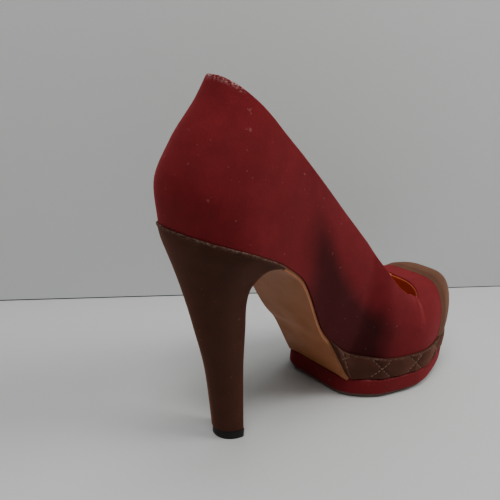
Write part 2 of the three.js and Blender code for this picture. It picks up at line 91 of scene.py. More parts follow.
class Curve:
    """A smooth curve through the rows of a table that never overshoots."""

    def __init__(self, rows: Table, column: int = 1, along: float = 1.0, scale: float = 1.0) -> None:
        """Works out the slopes.

        Args:
            rows: rows whose first value is the place and whose other values are heights.
            column: the value to follow.
            along: factor on the places.
            scale: factor on the values.
        """
        self.xs = np.array([row[0] for row in rows]) * along
        self.ys = np.array([row[column] for row in rows]) * scale
        step = np.diff(self.xs)
        rise = np.diff(self.ys) / step
        slopes = np.zeros(len(self.xs))
        slopes[0], slopes[-1] = rise[0], rise[-1]
        for i in range(1, len(slopes) - 1):
            if rise[i - 1] * rise[i] > 0:
                before = 2 * step[i] + step[i - 1]
                after = step[i] + 2 * step[i - 1]
                slopes[i] = (before + after) / (before / rise[i - 1] + after / rise[i])
        self.slopes = slopes

    def __call__(self, x: Places) -> Places:
        """Follows the curve, carried on straight past both ends.

        Args:
            x: the places.

        Returns:
            The curve's values.
        """
        x = np.asarray(x, float)
        i = np.clip(np.searchsorted(self.xs, x, side="left") - 1, 0, len(self.xs) - 2)
        step = self.xs[i + 1] - self.xs[i]
        t = (x - self.xs[i]) / step
        bend = step * (self.slopes[i] * t * (1 - t) ** 2 - self.slopes[i + 1] * t**2 * (1 - t))
        inside = self.ys[i] + (self.ys[i + 1] - self.ys[i]) * t * t * (3 - 2 * t) + bend
        before = self.ys[0] + self.slopes[0] * (x - self.xs[0])
        after = self.ys[-1] + self.slopes[-1] * (x - self.xs[-1])
        return np.where(x <= self.xs[0], before, np.where(x >= self.xs[-1], after, inside))


@dataclass(frozen=True)
class Last:
    """The last that every curved piece is made on, with its origin at the back of the seat."""

    length: float = 0.215
    ball_width: float = 0.071
    heel_height: float = 0.1145
    platform_height: float = 0.0245
    toe_spring: float = 0.005
    counter_height: float = 0.060
    instep_height: float = 0.0357
    toe_edge_height: float = 0.0087
    throat_length: float = 0.172
    throat_start: float = 0.147
    throat_height: float = 0.0619
    throat_near: float = 0.0293
    throat_far: float = 0.0303
    throat_fall: float = 0.009
    throat_squareness: float = 3.4
    topline_plunge: float = 50.0
    corner: float = 0.0012
    seat_round: float = 0.135
    toe_round_start: float = 0.76
    toe_drop_start: float = 0.83
    toe_drop_power: float = 2.9
    toe_plan_power: float = 1.88
    toe_plan_root: float = 1.9
    back_curve_reach: float = 0.42
    ball_at: float = 0.74
    feather_line: Table = (
        (0.0, 1.0), (0.12, 0.912), (0.27, 0.725), (0.43, 0.24), (0.57, 0.033), (0.68, 0.004), (1.0, 0.0),
    )
    # place, near, far, near bulge, far bulge, round, shift
    sections: Table = (
        (0.0, 0.376, 0.34, 0.02, 0.02, 1.1, 0.0),
        (0.12, 0.376, 0.34, 0.03, 0.03, 1.05, 0.0),
        (0.27, 0.339, 0.365, 0.1, 0.06, 0.92, 0.0),
        (0.42, 0.262, 0.34, 0.5, 0.22, 0.7, 0.011),
        (0.53, 0.25, 0.4, 0.62, 0.16, 0.66, 0.021),
        (0.64, 0.43, 0.465, 0.14, 0.12, 0.66, 0.028),
        (0.76, 0.49, 0.5, 0.08, 0.08, 0.6, 0.015),
        (0.88, 0.465, 0.448, 0.06, 0.06, 0.5, -0.017),
        (1.0, 0.474, 0.44, 0.06, 0.06, 0.48, -0.07),
    )
    ridge: Table = (
        (0.0, 1.28), (0.16, 1.3), (0.36, 1.4), (0.57, 1.55), (0.72, 1.4), (0.79, 1.15), (0.85, 0.93),
        (0.9, 0.76),
    )
    vamp: Table = ((0.0, 1.0), (0.4, 0.967), (1.0, 1.104))
    topline: Table = (
        (0.0, 0.064), (0.082, 0.013), (0.116, 0.0), (0.15, 0.02), (0.197, 0.07), (0.272, 0.168),
        (0.374, 0.281), (0.493, 0.412), (0.584, 0.511), (0.675, 0.615), (0.773, 0.728), (0.847, 0.835),
        (0.92, 0.93), (1.0, 1.0),
    )
    back_curve: Table = ((0.0, 0.0), (0.29, -0.05), (0.58, 0.06), (0.87, 0.24), (1.3, 0.4))
    cap_line: Table = ((-1.0, 0.855), (-0.5, 0.877), (0.1, 0.868), (0.6, 0.876), (1.0, 0.85))

    def __post_init__(self) -> None:
        """Builds the curves from the tables."""
        pitch = self.heel_height - self.platform_height
        counter_top = self.heel_height + self.counter_height
        made = {
            "feather_rise": Curve(self.feather_line, 1, self.length, pitch),
            "near_width": Curve(self.sections, 1, self.length, self.ball_width),
            "far_width": Curve(self.sections, 2, self.length, self.ball_width),
            "near_bulge": Curve(self.sections, 3, self.length),
            "far_bulge": Curve(self.sections, 4, self.length),
            "round": Curve(self.sections, 5, self.length),
            "middle": Curve(self.sections, 6, self.length, self.ball_width),
            "ridge_lift": Curve(self.ridge, 1, self.throat_length, self.counter_height),
            "vamp_lift": Curve(self.vamp, 1, self.length - self.throat_length, self.instep_height),
            "lean": Curve(self.back_curve, 1, self.counter_height, self.counter_height),
            "drop": Curve(self.topline, 1, self.throat_start, counter_top - self.throat_height),
            "cap_at": Curve(self.cap_line, 1, self.ball_width / 2, self.length),
        }
        for name, curve in made.items():
            object.__setattr__(self, name, curve)

    def feather(self, x: Places) -> Places:
        """Returns the feather line's height at x."""
        spring = np.clip((x / self.length - self.ball_at) / (1 - self.ball_at), 0, 1) ** 2
        return self.platform_height + self.feather_rise(x) + self.toe_spring * spring

    def fullness(self, x: Places) -> Places:
        """Works out how full the plan outline is.

        Args:
            x: stations along the last.

        Returns:
            The fullness, from 0 at the two ends to 1.
        """
        seat = np.clip(x / (self.seat_round * self.length), 0, 1)
        toe = np.clip((x / self.length - self.toe_round_start) / (1 - self.toe_round_start), 0, 1)
        return np.sqrt(1 - (1 - seat) ** 2) * (1 - toe**self.toe_plan_power) ** (1 / self.toe_plan_root)

    def ridge_height(self, x: Places) -> Places:
        """Works out the ridge's height above the feather line.

        Args:
            x: stations along the last.

        Returns:
            The heights.
        """
        behind = self.ridge[-1][0] * self.throat_length
        blend = ease((x - behind) / self.throat_fall)
        back = self.ridge_lift(np.minimum(x, behind))
        front = self.vamp_lift(np.maximum(0, x - self.throat_length))
        fall = np.clip((x / self.length - self.toe_drop_start) / (1 - self.toe_drop_start), 0, 1)
        full = back + (front - back) * blend
        return self.toe_edge_height + (full - self.toe_edge_height) * np.sqrt(1 - fall**self.toe_drop_power)

    def half_width(self, x: Places, side: Places) -> Places:
        """Returns the half width at the feather line, where side is below 0 for near."""
        return np.where(side < 0, self.near_width(x), self.far_width(x)) * self.fullness(x)

    def point(self, x: Places, angle: Places, side: Places) -> Places:
        """Finds points of the last.

        Args:
            x: stations along the last.
            angle: turns up from the feather line.
            side: below 0 for the near side.

        Returns:
            The points.
        """
        up = self.ridge_height(x) * np.sin(angle)
        bulge = 1 + np.where(side < 0, self.near_bulge(x), self.far_bulge(x)) * np.sin(2 * angle)
        across = self.half_width(x, side) * bulge * np.maximum(0, np.cos(angle)) ** self.round(x)
        felt = 1 - ease(x / (self.back_curve_reach * self.length))
        return np.stack([x + self.lean(up) * felt, self.middle(x) + side * across, self.feather(x) + up], -1)

    def topline_height(self, x: Places) -> Places:
        """Returns the height of the topline's side view line at x."""
        counter_top = self.heel_height + self.counter_height
        return counter_top - self.drop(x) - self.topline_plunge * np.maximum(0, x - self.throat_start) ** 2

    def opening(self, points: Places) -> Places:
        """Works out how deep each point lies in the opening.

        Args:
            points: places from the back of the last.

        Returns:
            The depths, below 0 outside the opening.
        """
        x, y, z = points[..., 0], points[..., 1], points[..., 2]
        off = y - self.middle(np.array(self.throat_start))
        half = np.where(off < 0, self.throat_near, self.throat_far)
        ahead = np.clip((x - self.throat_start) / (self.throat_length - self.throat_start), 0, None)
        plan = 1 - ahead**self.throat_squareness - (np.abs(off) / half) ** self.throat_squareness
        plan = np.where(x < self.throat_start, 1.0, plan)
        high = z - self.topline_height(x)
        return -self.corner * np.logaddexp(-high / self.corner, -plan * half / self.corner)


LAST = Last()
# The solids were centred, so the last's origin is found from the heel lift's known place
HEEL_TIP_SETBACK = 0.035
_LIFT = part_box("heel_lift")
SHIFT = np.array([_LIFT[0].x - HEEL_TIP_SETBACK, (_LIFT[0].y + _LIFT[1].y) / 2, 0.0])


def stations(start: float, end: float, count: int) -> Places:
    """Returns places from start to end that crowd together at both ends."""
    return start + (end - start) * (1 - np.cos(np.linspace(0, math.pi, count + 1))) / 2


def deselect_all() -> None:
    """Leaves object mode with nothing selected."""
    if bpy.context.object and bpy.context.object.mode != "OBJECT":
        bpy.ops.object.mode_set(mode="OBJECT")
    bpy.ops.object.select_all(action="DESELECT")


def choose(obj: Object) -> None:
    """Selects one object alone and makes it active.

    Args:
        obj: the object.
    """
    deselect_all()
    obj.select_set(True)
    bpy.context.view_layer.objects.active = obj


def sheet(name: str, points: Places) -> Object:
    """Adds a grid and shapes it to a table of points.

    Args:
        name: the object's name.
        points: positions as columns by rows by 3, from the back of the last.

    Returns:
        The shaped grid, with its doubles merged.
    """
    columns, rows = points.shape[0] - 1, points.shape[1] - 1
    deselect_all()
    bpy.ops.mesh.primitive_grid_add(x_subdivisions=columns, y_subdivisions=rows, size=1.0)
    obj = bpy.context.object
    obj.name = name
    flat = np.empty(len(obj.data.vertices) * 3)
    obj.data.vertices.foreach_get("co", flat)
    flat = flat.reshape(-1, 3)
    i = np.rint((flat[:, 0] + 0.5) * columns).astype(int)
    k = np.rint((flat[:, 1] + 0.5) * rows).astype(int)
    obj.data.vertices.foreach_set("co", (points[i, k] + SHIFT).ravel())
    obj.data.update()
    merge(obj)
    return obj


def edit(obj: Object, operation: Callable, **settings: object) -> None:
    """Runs one editing step on the whole of an object.

    Args:
        obj: the object.
        operation: the step, as one of Blender's mesh operators.
        settings: the step's own settings.
    """
    choose(obj)
    bpy.ops.object.mode_set(mode="EDIT")
    bpy.ops.mesh.select_all(action="SELECT")
    operation(**settings)
    bpy.ops.object.mode_set(mode="OBJECT")


def merge(obj: Object) -> None:
    """Merges obj's doubled points."""
    edit(obj, bpy.ops.mesh.remove_doubles, threshold=WELD)


def recalculate(obj: Object) -> None:
    """Turns all of obj's faces outward."""
    edit(obj, bpy.ops.mesh.normals_make_consistent, inside=False)


def join(name: str, objects: Sequence[Object]) -> Object:
    """Joins several objects into one.

    Args:
        name: the joined object's name.
        objects: the objects.

    Returns:
        The joined object.
    """
    deselect_all()
    for obj in objects:
        obj.select_set(True)
    bpy.context.view_layer.objects.active = objects[0]
    if len(objects) > 1:
        bpy.ops.object.join()
    objects[0].name = name
    return objects[0]


def smooth(obj: Object, angle: float = FIRM_EDGES) -> None:
    """Shades obj smooth, apart from edges sharper than angle, in degrees."""
    choose(obj)
    bpy.ops.object.shade_smooth_by_angle(angle=math.radians(angle))


def weld(name: str, pieces: Sequence[Object]) -> Object:
    """Joins sheets into one smooth skin.

    Args:
        name: the skin's name.
        pieces: the sheets, whose edges meet.

    Returns:
        The skin.
    """
    skin = join(name, pieces)
    merge(skin)
    recalculate(skin)
    smooth(skin, SOFT_EDGES)
    return skin


def closed_skin(name: str, loops: Sequence[Places], angle: float = FIRM_EDGES) -> Object:
    """Builds a skin over a stack of closed loops.

    Args:
        name: the skin's name.
        loops: the loops, from the lowest up.
        angle: the angle below which its edges look smooth, in degrees.

    Returns:
        The skin.
    """
    points = np.stack(loops, 1)
    skin = sheet(name, np.concatenate([points, points[:1]], 0))
    recalculate(skin)
    smooth(skin, angle)
    return skin


# Node groups and finishes


@dataclass(frozen=True)
class Spots:
    """A noise, and the two of its values between which it is spread."""

    scale: float
    detail: float
    low: float
    high: float


CLOUDS = Spots(38.0, 4.0, 0.35, 0.68)
PATCHES = Spots(140.0, 3.0, 0.35, 0.7)
FIBRES = Spots(2600.0, 2.0, 0.3, 0.7)
SPECKS = Spots(420.0, 2.0, 0.7, 0.78)
RUBS = Spots(900.0, 3.0, 0.45, 0.7)
STAINS = Spots(60.0, 5.0, 0.45, 0.75)
FADES = Spots(22.0, 3.0, 0.4, 0.75)


class NodeMaker:
    """Adds and joins the nodes of one node tree."""

    def __init__(self, tree: NodeTree) -> None:
        """Keeps the tree."""
        self.tree = tree
        self.column = 0

    def add(self, kind: str, **settings: object) -> bpy.types.Node:
        """Adds a node.

        Args:
            kind: the node's type.
            settings: its properties.

        Returns:
            The node.
        """
        node = self.tree.nodes.new(kind)
        node.location = (self.column * NODE_SPACING, 0)
        self.column += 1
        for key, value in settings.items():
            setattr(node, key, value)
        return node

    def link(self, source: Socket, target: Socket) -> None:
        """Joins two sockets."""
        self.tree.links.new(source, target)

    def noise(self, vector: Socket, spots: Spots) -> Socket:
        """Adds a noise.

        Args:
            vector: where it is read.
            spots: its scale and detail.

        Returns:
            Its value.
        """
        node = self.add("ShaderNodeTexNoise")
        node.inputs["Scale"].default_value = spots.scale
        node.inputs["Detail"].default_value = spots.detail
        self.link(vector, node.inputs["Vector"])
        return node.outputs["Fac"]

    def math(self, kind: str, a: object, b: object = 0.0) -> Socket:
        """Adds a mathematical operation.

        Args:
            kind: the operation.
            a: a socket or number.
            b: a socket or number.

        Returns:
            The result.
        """
        node = self.add("ShaderNodeMath", operation=kind)
        for socket, value in zip(node.inputs, (a, b)):
            if isinstance(value, Socket):
                self.link(value, socket)
            else:
                socket.default_value = value
        return node.outputs[0]

    def span(self, value: Socket, low: float, high: float, to_low: float = 0.0,
             to_high: float = 1.0) -> Socket:
        """Moves a value from one span to another, held at the ends.

        Args:
            value: the value.
            low: where the old span starts.
            high: where it ends.
            to_low: where the new span starts.
            to_high: where it ends.

        Returns:
            The moved value.
        """
        node = self.add("ShaderNodeMapRange")
        self.link(value, node.inputs["Value"])
        for key, number in (("From Min", low), ("From Max", high), ("To Min", to_low), ("To Max", to_high)):
            node.inputs[key].default_value = number
        return node.outputs["Result"]

    def spots(self, vector: Socket, spots: Spots) -> Socket:
        """Returns a noise spread from 0 to 1 between its two values."""
        return self.span(self.noise(vector, spots), spots.low, spots.high)

    def mix(self, share: object, a: object, b: object) -> Socket:
        """Mixes two colours.

        Args:
            share: the second colour's share.
            a: a socket or colour.
            b: a socket or colour.

        Returns:
            The mix.
        """
        node = self.add("ShaderNodeMix", data_type="RGBA")
        for socket, value in ((node.inputs[0], share), (node.inputs[6], a), (node.inputs[7], b)):
            if isinstance(value, Socket):
                self.link(value, socket)
            else:
                socket.default_value = value
        return node.outputs[2]


GRAIN_OUTPUTS = (
    ("Color", "NodeSocketColor"), ("Roughness", "NodeSocketFloat"), ("Height", "NodeSocketFloat"),
)


def new_group(name: str, inputs: Sequence[tuple]) -> tuple:
    """Makes an empty shader node group.

    Args:
        name: the group's name.
        inputs: socket name, kind and default value of each input.

    Returns:
        The group, its maker, its input node and its output node.
    """
    group = bpy.data.node_groups.new(name, "ShaderNodeTree")
    for label, kind, value in inputs:
        socket = group.interface.new_socket(name=label, in_out="INPUT", socket_type=kind)
        if value is not None:
            socket.default_value = value
    for label, kind in GRAIN_OUTPUTS:
        group.interface.new_socket(name=label, in_out="OUTPUT", socket_type=kind)
    maker = NodeMaker(group)
    return group, maker, maker.add("NodeGroupInput"), maker.add("NodeGroupOutput")


def suede_nap_group() -> NodeTree:
    """Builds the nap shared by the suedes: brushed clouds, short fibres, pale scuffs and a painted shade
    that darkens the colour toward near black where its mask is set.

    Returns:
        The node group.
    """
    group, make, given, out = new_group(
        "suede_nap",
        (("Vector", "NodeSocketVector", None), ("Base", "NodeSocketColor", (0.1, 0.01, 0.01, 1)),
         ("Brushed", "NodeSocketColor", (0.14, 0.02, 0.02, 1)),
         ("Deep", "NodeSocketColor", (0.05, 0.01, 0.01, 1)),
         ("Scuff", "NodeSocketColor", (0.4, 0.3, 0.28, 1)), ("Wear", "NodeSocketFloat", 0.0),
         ("Painted_shade", "NodeSocketFloat", 0.0)),
    )
    brushed_share, patch_share, fibre_share, speck_share = 0.75, 0.3, 0.4, 0.1
    # Painted shade numbers: its ragged edge, share, darkness and near-black colour, then where it starts and
    # where it is full
    shade_ragged, shade_share, shade_dark, shade = 0.25, 0.93, 0.75, (0.004, 0.001, 0.001, 1)
    shade_from, shade_full, fibre_height, patch_height = 0.05, 0.75, 0.7, 0.5
    smoothest, roughest = 0.86, 0.97
    where, deep = given.outputs["Vector"], given.outputs["Deep"]
    clouds = make.spots(where, CLOUDS)
    patches = make.spots(where, PATCHES)
    fibres = make.noise(where, FIBRES)
    brushed = make.math("MULTIPLY", clouds, brushed_share)
    colour = make.mix(brushed, given.outputs["Base"], given.outputs["Brushed"])
    colour = make.mix(make.math("MULTIPLY", patches, patch_share), colour, deep)
    colour = make.mix(make.span(fibres, FIBRES.low, FIBRES.high, 0.0, fibre_share), colour, deep)
    # Painted shade: the mask, given a ragged edge by the clouds, mixes the colour toward near black
    ragged = make.math("MULTIPLY", make.math("SUBTRACT", clouds, 0.5), shade_ragged)
    broken = make.math("ADD", given.outputs["Painted_shade"], ragged)
    pressed = make.math("MULTIPLY", make.span(broken, shade_from, shade_full), shade_share)
    colour = make.mix(pressed, colour, make.mix(shade_dark, deep, shade))
    specks = make.math("MULTIPLY", make.spots(where, SPECKS), speck_share)
    rubbed = make.math("MULTIPLY", make.spots(where, RUBS), given.outputs["Wear"])
    worn = make.math("MINIMUM", make.math("ADD", specks, rubbed), 1.0)
    colour = make.mix(worn, colour, given.outputs["Scuff"])
    make.link(colour, out.inputs["Color"])
    make.link(make.span(clouds, 0.0, 1.0, smoothest, roughest), out.inputs["Roughness"])
    raised = make.math("MULTIPLY", patches, patch_height)
    make.link(make.math("ADD", make.math("MULTIPLY", fibres, fibre_height), raised), out.inputs["Height"])
    return group


def leather_grain_group() -> NodeTree:
    """Builds the grain shared by the smooth leathers: pores, fine wrinkles and stains.

    Returns:
        The node group.
    """
    group, make, given, out = new_group(
        "leather_grain",
        (("Vector", "NodeSocketVector", None), ("Base", "NodeSocketColor", (0.3, 0.1, 0.04, 1)),
         ("Stain", "NodeSocketColor", (0.1, 0.05, 0.03, 1)), ("Pale", "NodeSocketColor", (0.4, 0.2, 0.1, 1)),
         ("Pores", "NodeSocketFloat", 1500.0)),
    )
    pore_edge, stain_share, fade_share, smoothest, roughest = 0.12, 0.5, 0.5, 0.5, 0.72
    where = given.outputs["Vector"]
    cells = make.add("ShaderNodeTexVoronoi", feature="DISTANCE_TO_EDGE")
    make.link(where, cells.inputs["Vector"])
    make.link(given.outputs["Pores"], cells.inputs["Scale"])
    stains = make.spots(where, STAINS)
    fades = make.spots(where, FADES)
    stained = make.math("MULTIPLY", stains, stain_share)
    colour = make.mix(stained, given.outputs["Base"], given.outputs["Stain"])
    colour = make.mix(make.math("MULTIPLY", fades, fade_share), colour, given.outputs["Pale"])
    make.link(colour, out.inputs["Color"])
    make.link(make.span(stains, 0.0, 1.0, smoothest, roughest), out.inputs["Roughness"])
    make.link(make.span(cells.outputs["Distance"], 0.0, pore_edge), out.inputs["Height"])
    return group


def build_material(name: str, group: NodeTree, values: dict[str, object], masks: Sequence[str],
                   bump: tuple[float, float], shading: dict[str, object]) -> Material:
    """Builds a material around one of the two node groups.

    Args:
        name: the material's name.
        group: the node group.
        values: values of the group's inputs.
        masks: attributes that feed the inputs of the same names.
        bump: the bump's strength and distance.
        shading: values of the shader's own sockets.

    Returns:
        The material.
    """
    material = bpy.data.materials.new(name)
    material.use_nodes = True
    make = NodeMaker(material.node_tree)
    shader = material.node_tree.nodes["Principled BSDF"]
    grain = make.add("ShaderNodeGroup", node_tree=group)
    make.link(make.add("ShaderNodeTexCoord").outputs["Object"], grain.inputs["Vector"])
    for mask in masks:
        attribute = make.add("ShaderNodeAttribute", attribute_name=mask)
        make.link(attribute.outputs["Fac"], grain.inputs[mask.capitalize()])
    for key, value in values.items():
        grain.inputs[key].default_value = value
    relief = make.add("ShaderNodeBump")
    for key, value in zip(("Strength", "Distance"), bump):
        relief.inputs[key].default_value = value
    make.link(grain.outputs["Height"], relief.inputs["Height"])
    make.link(relief.outputs["Normal"], shader.inputs["Normal"])
    make.link(grain.outputs["Color"], shader.inputs["Base Color"])
    make.link(grain.outputs["Roughness"], shader.inputs["Roughness"])
    for key, value in shading.items():
        shader.inputs[key].default_value = value
    return material


@dataclass(frozen=True)
class Suede:
    """A napped suede."""

    name: str
    base: Colour
    brushed: Colour
    deep: Colour
    scuff: Colour
    sheen: float = 0.35
    sheen_tint: float = 0.55
    least_tint: float = 0.03
    sheen_roughness: float = 0.45
    specular: float = 0.15
    bump: tuple[float, float] = (0.35, 0.0002)

    def make(self, group: NodeTree) -> Material:
        """Builds the material.

        Args:
            group: the nap group.

        Returns:
            The material.
        """
        brightest = max(self.brushed)
        tint = [self.sheen_tint * part / brightest + self.least_tint for part in self.brushed]
        colours = {"Base": self.base, "Brushed": self.brushed, "Deep": self.deep, "Scuff": self.scuff}
        values = {key: (*colour, 1) for key, colour in colours.items()}
        shading = {
            "Sheen Weight": self.sheen, "Sheen Roughness": self.sheen_roughness, "Sheen Tint": (*tint, 1),
            "Specular IOR Level": self.specular,
        }
        # The wear mask pales the suede with scuffs; the second mask paints shade into it
        return build_material(self.name, group, values, ("wear", "painted_shade"), self.bump, shading)


@dataclass(frozen=True)
class Leather:
    """A smooth leather or rubber."""

    name: str
    base: Colour
    stain: Colour
    pale: Colour
    pores: float = 1500.0
    bump: float = 0.2
    coat: float = 0.1
    bump_distance: float = 0.0001
    coat_roughness: float = 0.4
    specular: float = 0.2

    def make(self, group: NodeTree) -> Material:
        """Builds the material.

        Args:
            group: the grain group.

        Returns:
            The material.
        """
        colours = {"Base": self.base, "Stain": self.stain, "Pale": self.pale}
        values = {"Pores": self.pores, **{key: (*colour, 1) for key, colour in colours.items()}}
        shading = {
            "Coat Weight": self.coat, "Coat Roughness": self.coat_roughness,
            "Specular IOR Level": self.specular,
        }
        return build_material(self.name, group, values, (), (self.bump, self.bump_distance), shading)


class Finishes:
    """All the finishes of the shoe."""

    def __init__(self) -> None:
        """Builds the two groups and each material."""
        nap = suede_nap_group()
        grain = leather_grain_group()
        self.burgundy = Suede(
            "burgundy_suede", (0.15, 0.0085, 0.012), (0.19, 0.013, 0.0175), (0.07, 0.004, 0.0055),
            (0.6, 0.42, 0.4),
        ).make(nap)
        self.brown = Suede(
            "brown_suede", (0.05, 0.0165, 0.009), (0.07, 0.024, 0.0145), (0.02, 0.0075, 0.005),
            (0.4, 0.3, 0.24),
        ).make(nap)
        self.cap_brown = Suede(
            "cap_brown_suede", (0.1, 0.043, 0.025), (0.135, 0.06, 0.035), (0.045, 0.019, 0.012),
            (0.4, 0.3, 0.24),
        ).make(nap)
        self.lining = Leather(
            "orange_lining", (0.62, 0.2, 0.025), (0.45, 0.14, 0.018), (0.75, 0.27, 0.045), pores=900.0
        ).make(grain)
        # Paler salmon for the lining's folded edge at the opening: partly its raw edge, partly a painted
        # highlight where light catches the fold
        self.lining_edge_and_highlight = Leather(
            "lining_edge_and_highlight", (0.85, 0.38, 0.24), (0.7, 0.3, 0.18), (0.9, 0.5, 0.36), pores=900.0
        ).make(grain)
        self.tan = Leather(
            "tan_leather", (0.33, 0.115, 0.045), (0.24, 0.09, 0.038), (0.4, 0.155, 0.066), coat=0.0
        ).make(grain)
        self.edge = Leather(
            "sole_edge", (0.16, 0.1, 0.08), (0.07, 0.045, 0.04), (0.24, 0.17, 0.14)
        ).make(grain)
        self.rubber = Leather(
            "dark_rubber", (0.012, 0.0095, 0.009), (0.006, 0.005, 0.005), (0.03, 0.026, 0.024),
            pores=700.0, bump=0.3, coat=0.0,
        ).make(grain)
        self.thread = Leather(
            "stitch_thread", (0.19, 0.11, 0.08), (0.1, 0.055, 0.04), (0.3, 0.2, 0.16),
            pores=3000.0, bump=0.1, coat=0.0,
        ).make(grain)


def dress(obj: Object, *materials: Material) -> None:
    """Gives an object its materials.

    Args:
        obj: the object.
        materials: the materials, in order.
    """
    obj.data.materials.clear()
    for material in materials:
        obj.data.materials.append(material)


def ride(obj: Object, slot: str, *nodes: str) -> Object:
    """Fixes a piece to the shoe.

    Args:
        obj: the piece.
        slot: its material slot, not used.
        nodes: the nodes that it takes the place of.

    Returns:
        The piece.
    """
    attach(obj, "root")
    if nodes:
        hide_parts(*nodes)
    LOG.info("%s: %d faces", obj.name, len(obj.data.polygons))
    return obj


def read_points(obj: Object) -> Places:
    """Reads the places of an object's points.

    Args:
        obj: the object.

    Returns:
        The places.
    """
    flat = np.empty(len(obj.data.vertices) * 3)
    obj.data.vertices.foreach_get("co", flat)
    return flat.reshape(-1, 3)


def store(obj: Object, name: str, values: Places) -> None:
    """Stores one value at each of obj's points."""
    layer = obj.data.attributes.new(name, "FLOAT", "POINT")
    layer.data.foreach_set("value", values.astype(np.float32))


def shed_wear(obj: Object, lines: Places, reach: float, strength: float) -> None:
    """Stores how worn each point is, by its distance from some lines.

    Args:
        obj: the piece.
        lines: points along the worn edges, from the back of the last.
        reach: the distance over which the wear fades out.
        strength: the wear right at the edge.
    """
    places = read_points(obj)
    nearest = np.full(len(places), np.inf)
    for point in lines + SHIFT:
        nearest = np.minimum(nearest, np.linalg.norm(places - point, axis=1))
    store(obj, "wear", strength * np.clip(1 - nearest / reach, 0, 1) ** 2)


# Pieces


class Skin:
    """Matching grids of points over the near and far sides of the last, with their outward normals."""

    def __init__(self, x: Places, angle: Places) -> None:
        """Works out the points.

        Args:
            x: stations as side by columns by rows.
            angle: angles up from the feather line, in the same order.
        """
        points = [LAST.point(x[n], angle[n], np.full_like(x[n], side.value)) for n, side in enumerate(Side)]
        self.points = np.stack(points)
        self.normals = self._normals()

    def _normals(self) -> Places:
        """Works out the outward normals, shared where points of either side meet.

        Returns:
            The normals, in the points' order.
        """
        total = np.zeros_like(self.points)
        for n, side in enumerate(Side):
            grid = self.points[n]
            slant = grid[1:, 1:] - grid[:-1, :-1]
            other = grid[:-1, 1:] - grid[1:, :-1]
            face = np.cross(slant, other) * -side.value
            for i, k in itertools.product((0, 1), repeat=2):
                total[n, i : i + face.shape[0], k : k + face.shape[1]] += face
        microns = np.rint(self.points.reshape(-1, 3) * 1e6)
        _, inverse = np.unique(microns, axis=0, return_inverse=True)
        inverse = inverse.ravel()
        summed = np.zeros((inverse.max() + 1, 3))
        np.add.at(summed, inverse, total.reshape(-1, 3))
        shared = summed[inverse]
        shared /= np.linalg.norm(shared, axis=1)[:, None] + TINY
        return shared.reshape(self.points.shape)


@dataclass(frozen=True)
class Crease:
    """A soft trough, or a ridge where its depth is below 0, from one place of the last to another."""

    start: tuple[float, float]
    end: tuple[float, float]
    depth: float
    width: float
    side: Side = Side.NEAR

    def sink(self, points: Places) -> Places:
        """Works out how far each point is pressed in.

        Args:
            points: places from the back of the last.

        Returns:
            The depths.
        """
        side = np.array(float(self.side.value))
        first, last = (LAST.point(np.array(x), np.array(angle), side) for x, angle in (self.start, self.end))
        along = last - first
        share = np.clip(((points - first) @ along) / (along @ along), 0, 1)
        gap = np.linalg.norm(points - first - share[..., None] * along, axis=-1)
        blunt = 0.04
        taper = np.sin(math.pi * np.clip(share, blunt, 1 - blunt)) ** 0.5
        return self.depth * taper * np.exp(-((gap / self.width) ** 2))


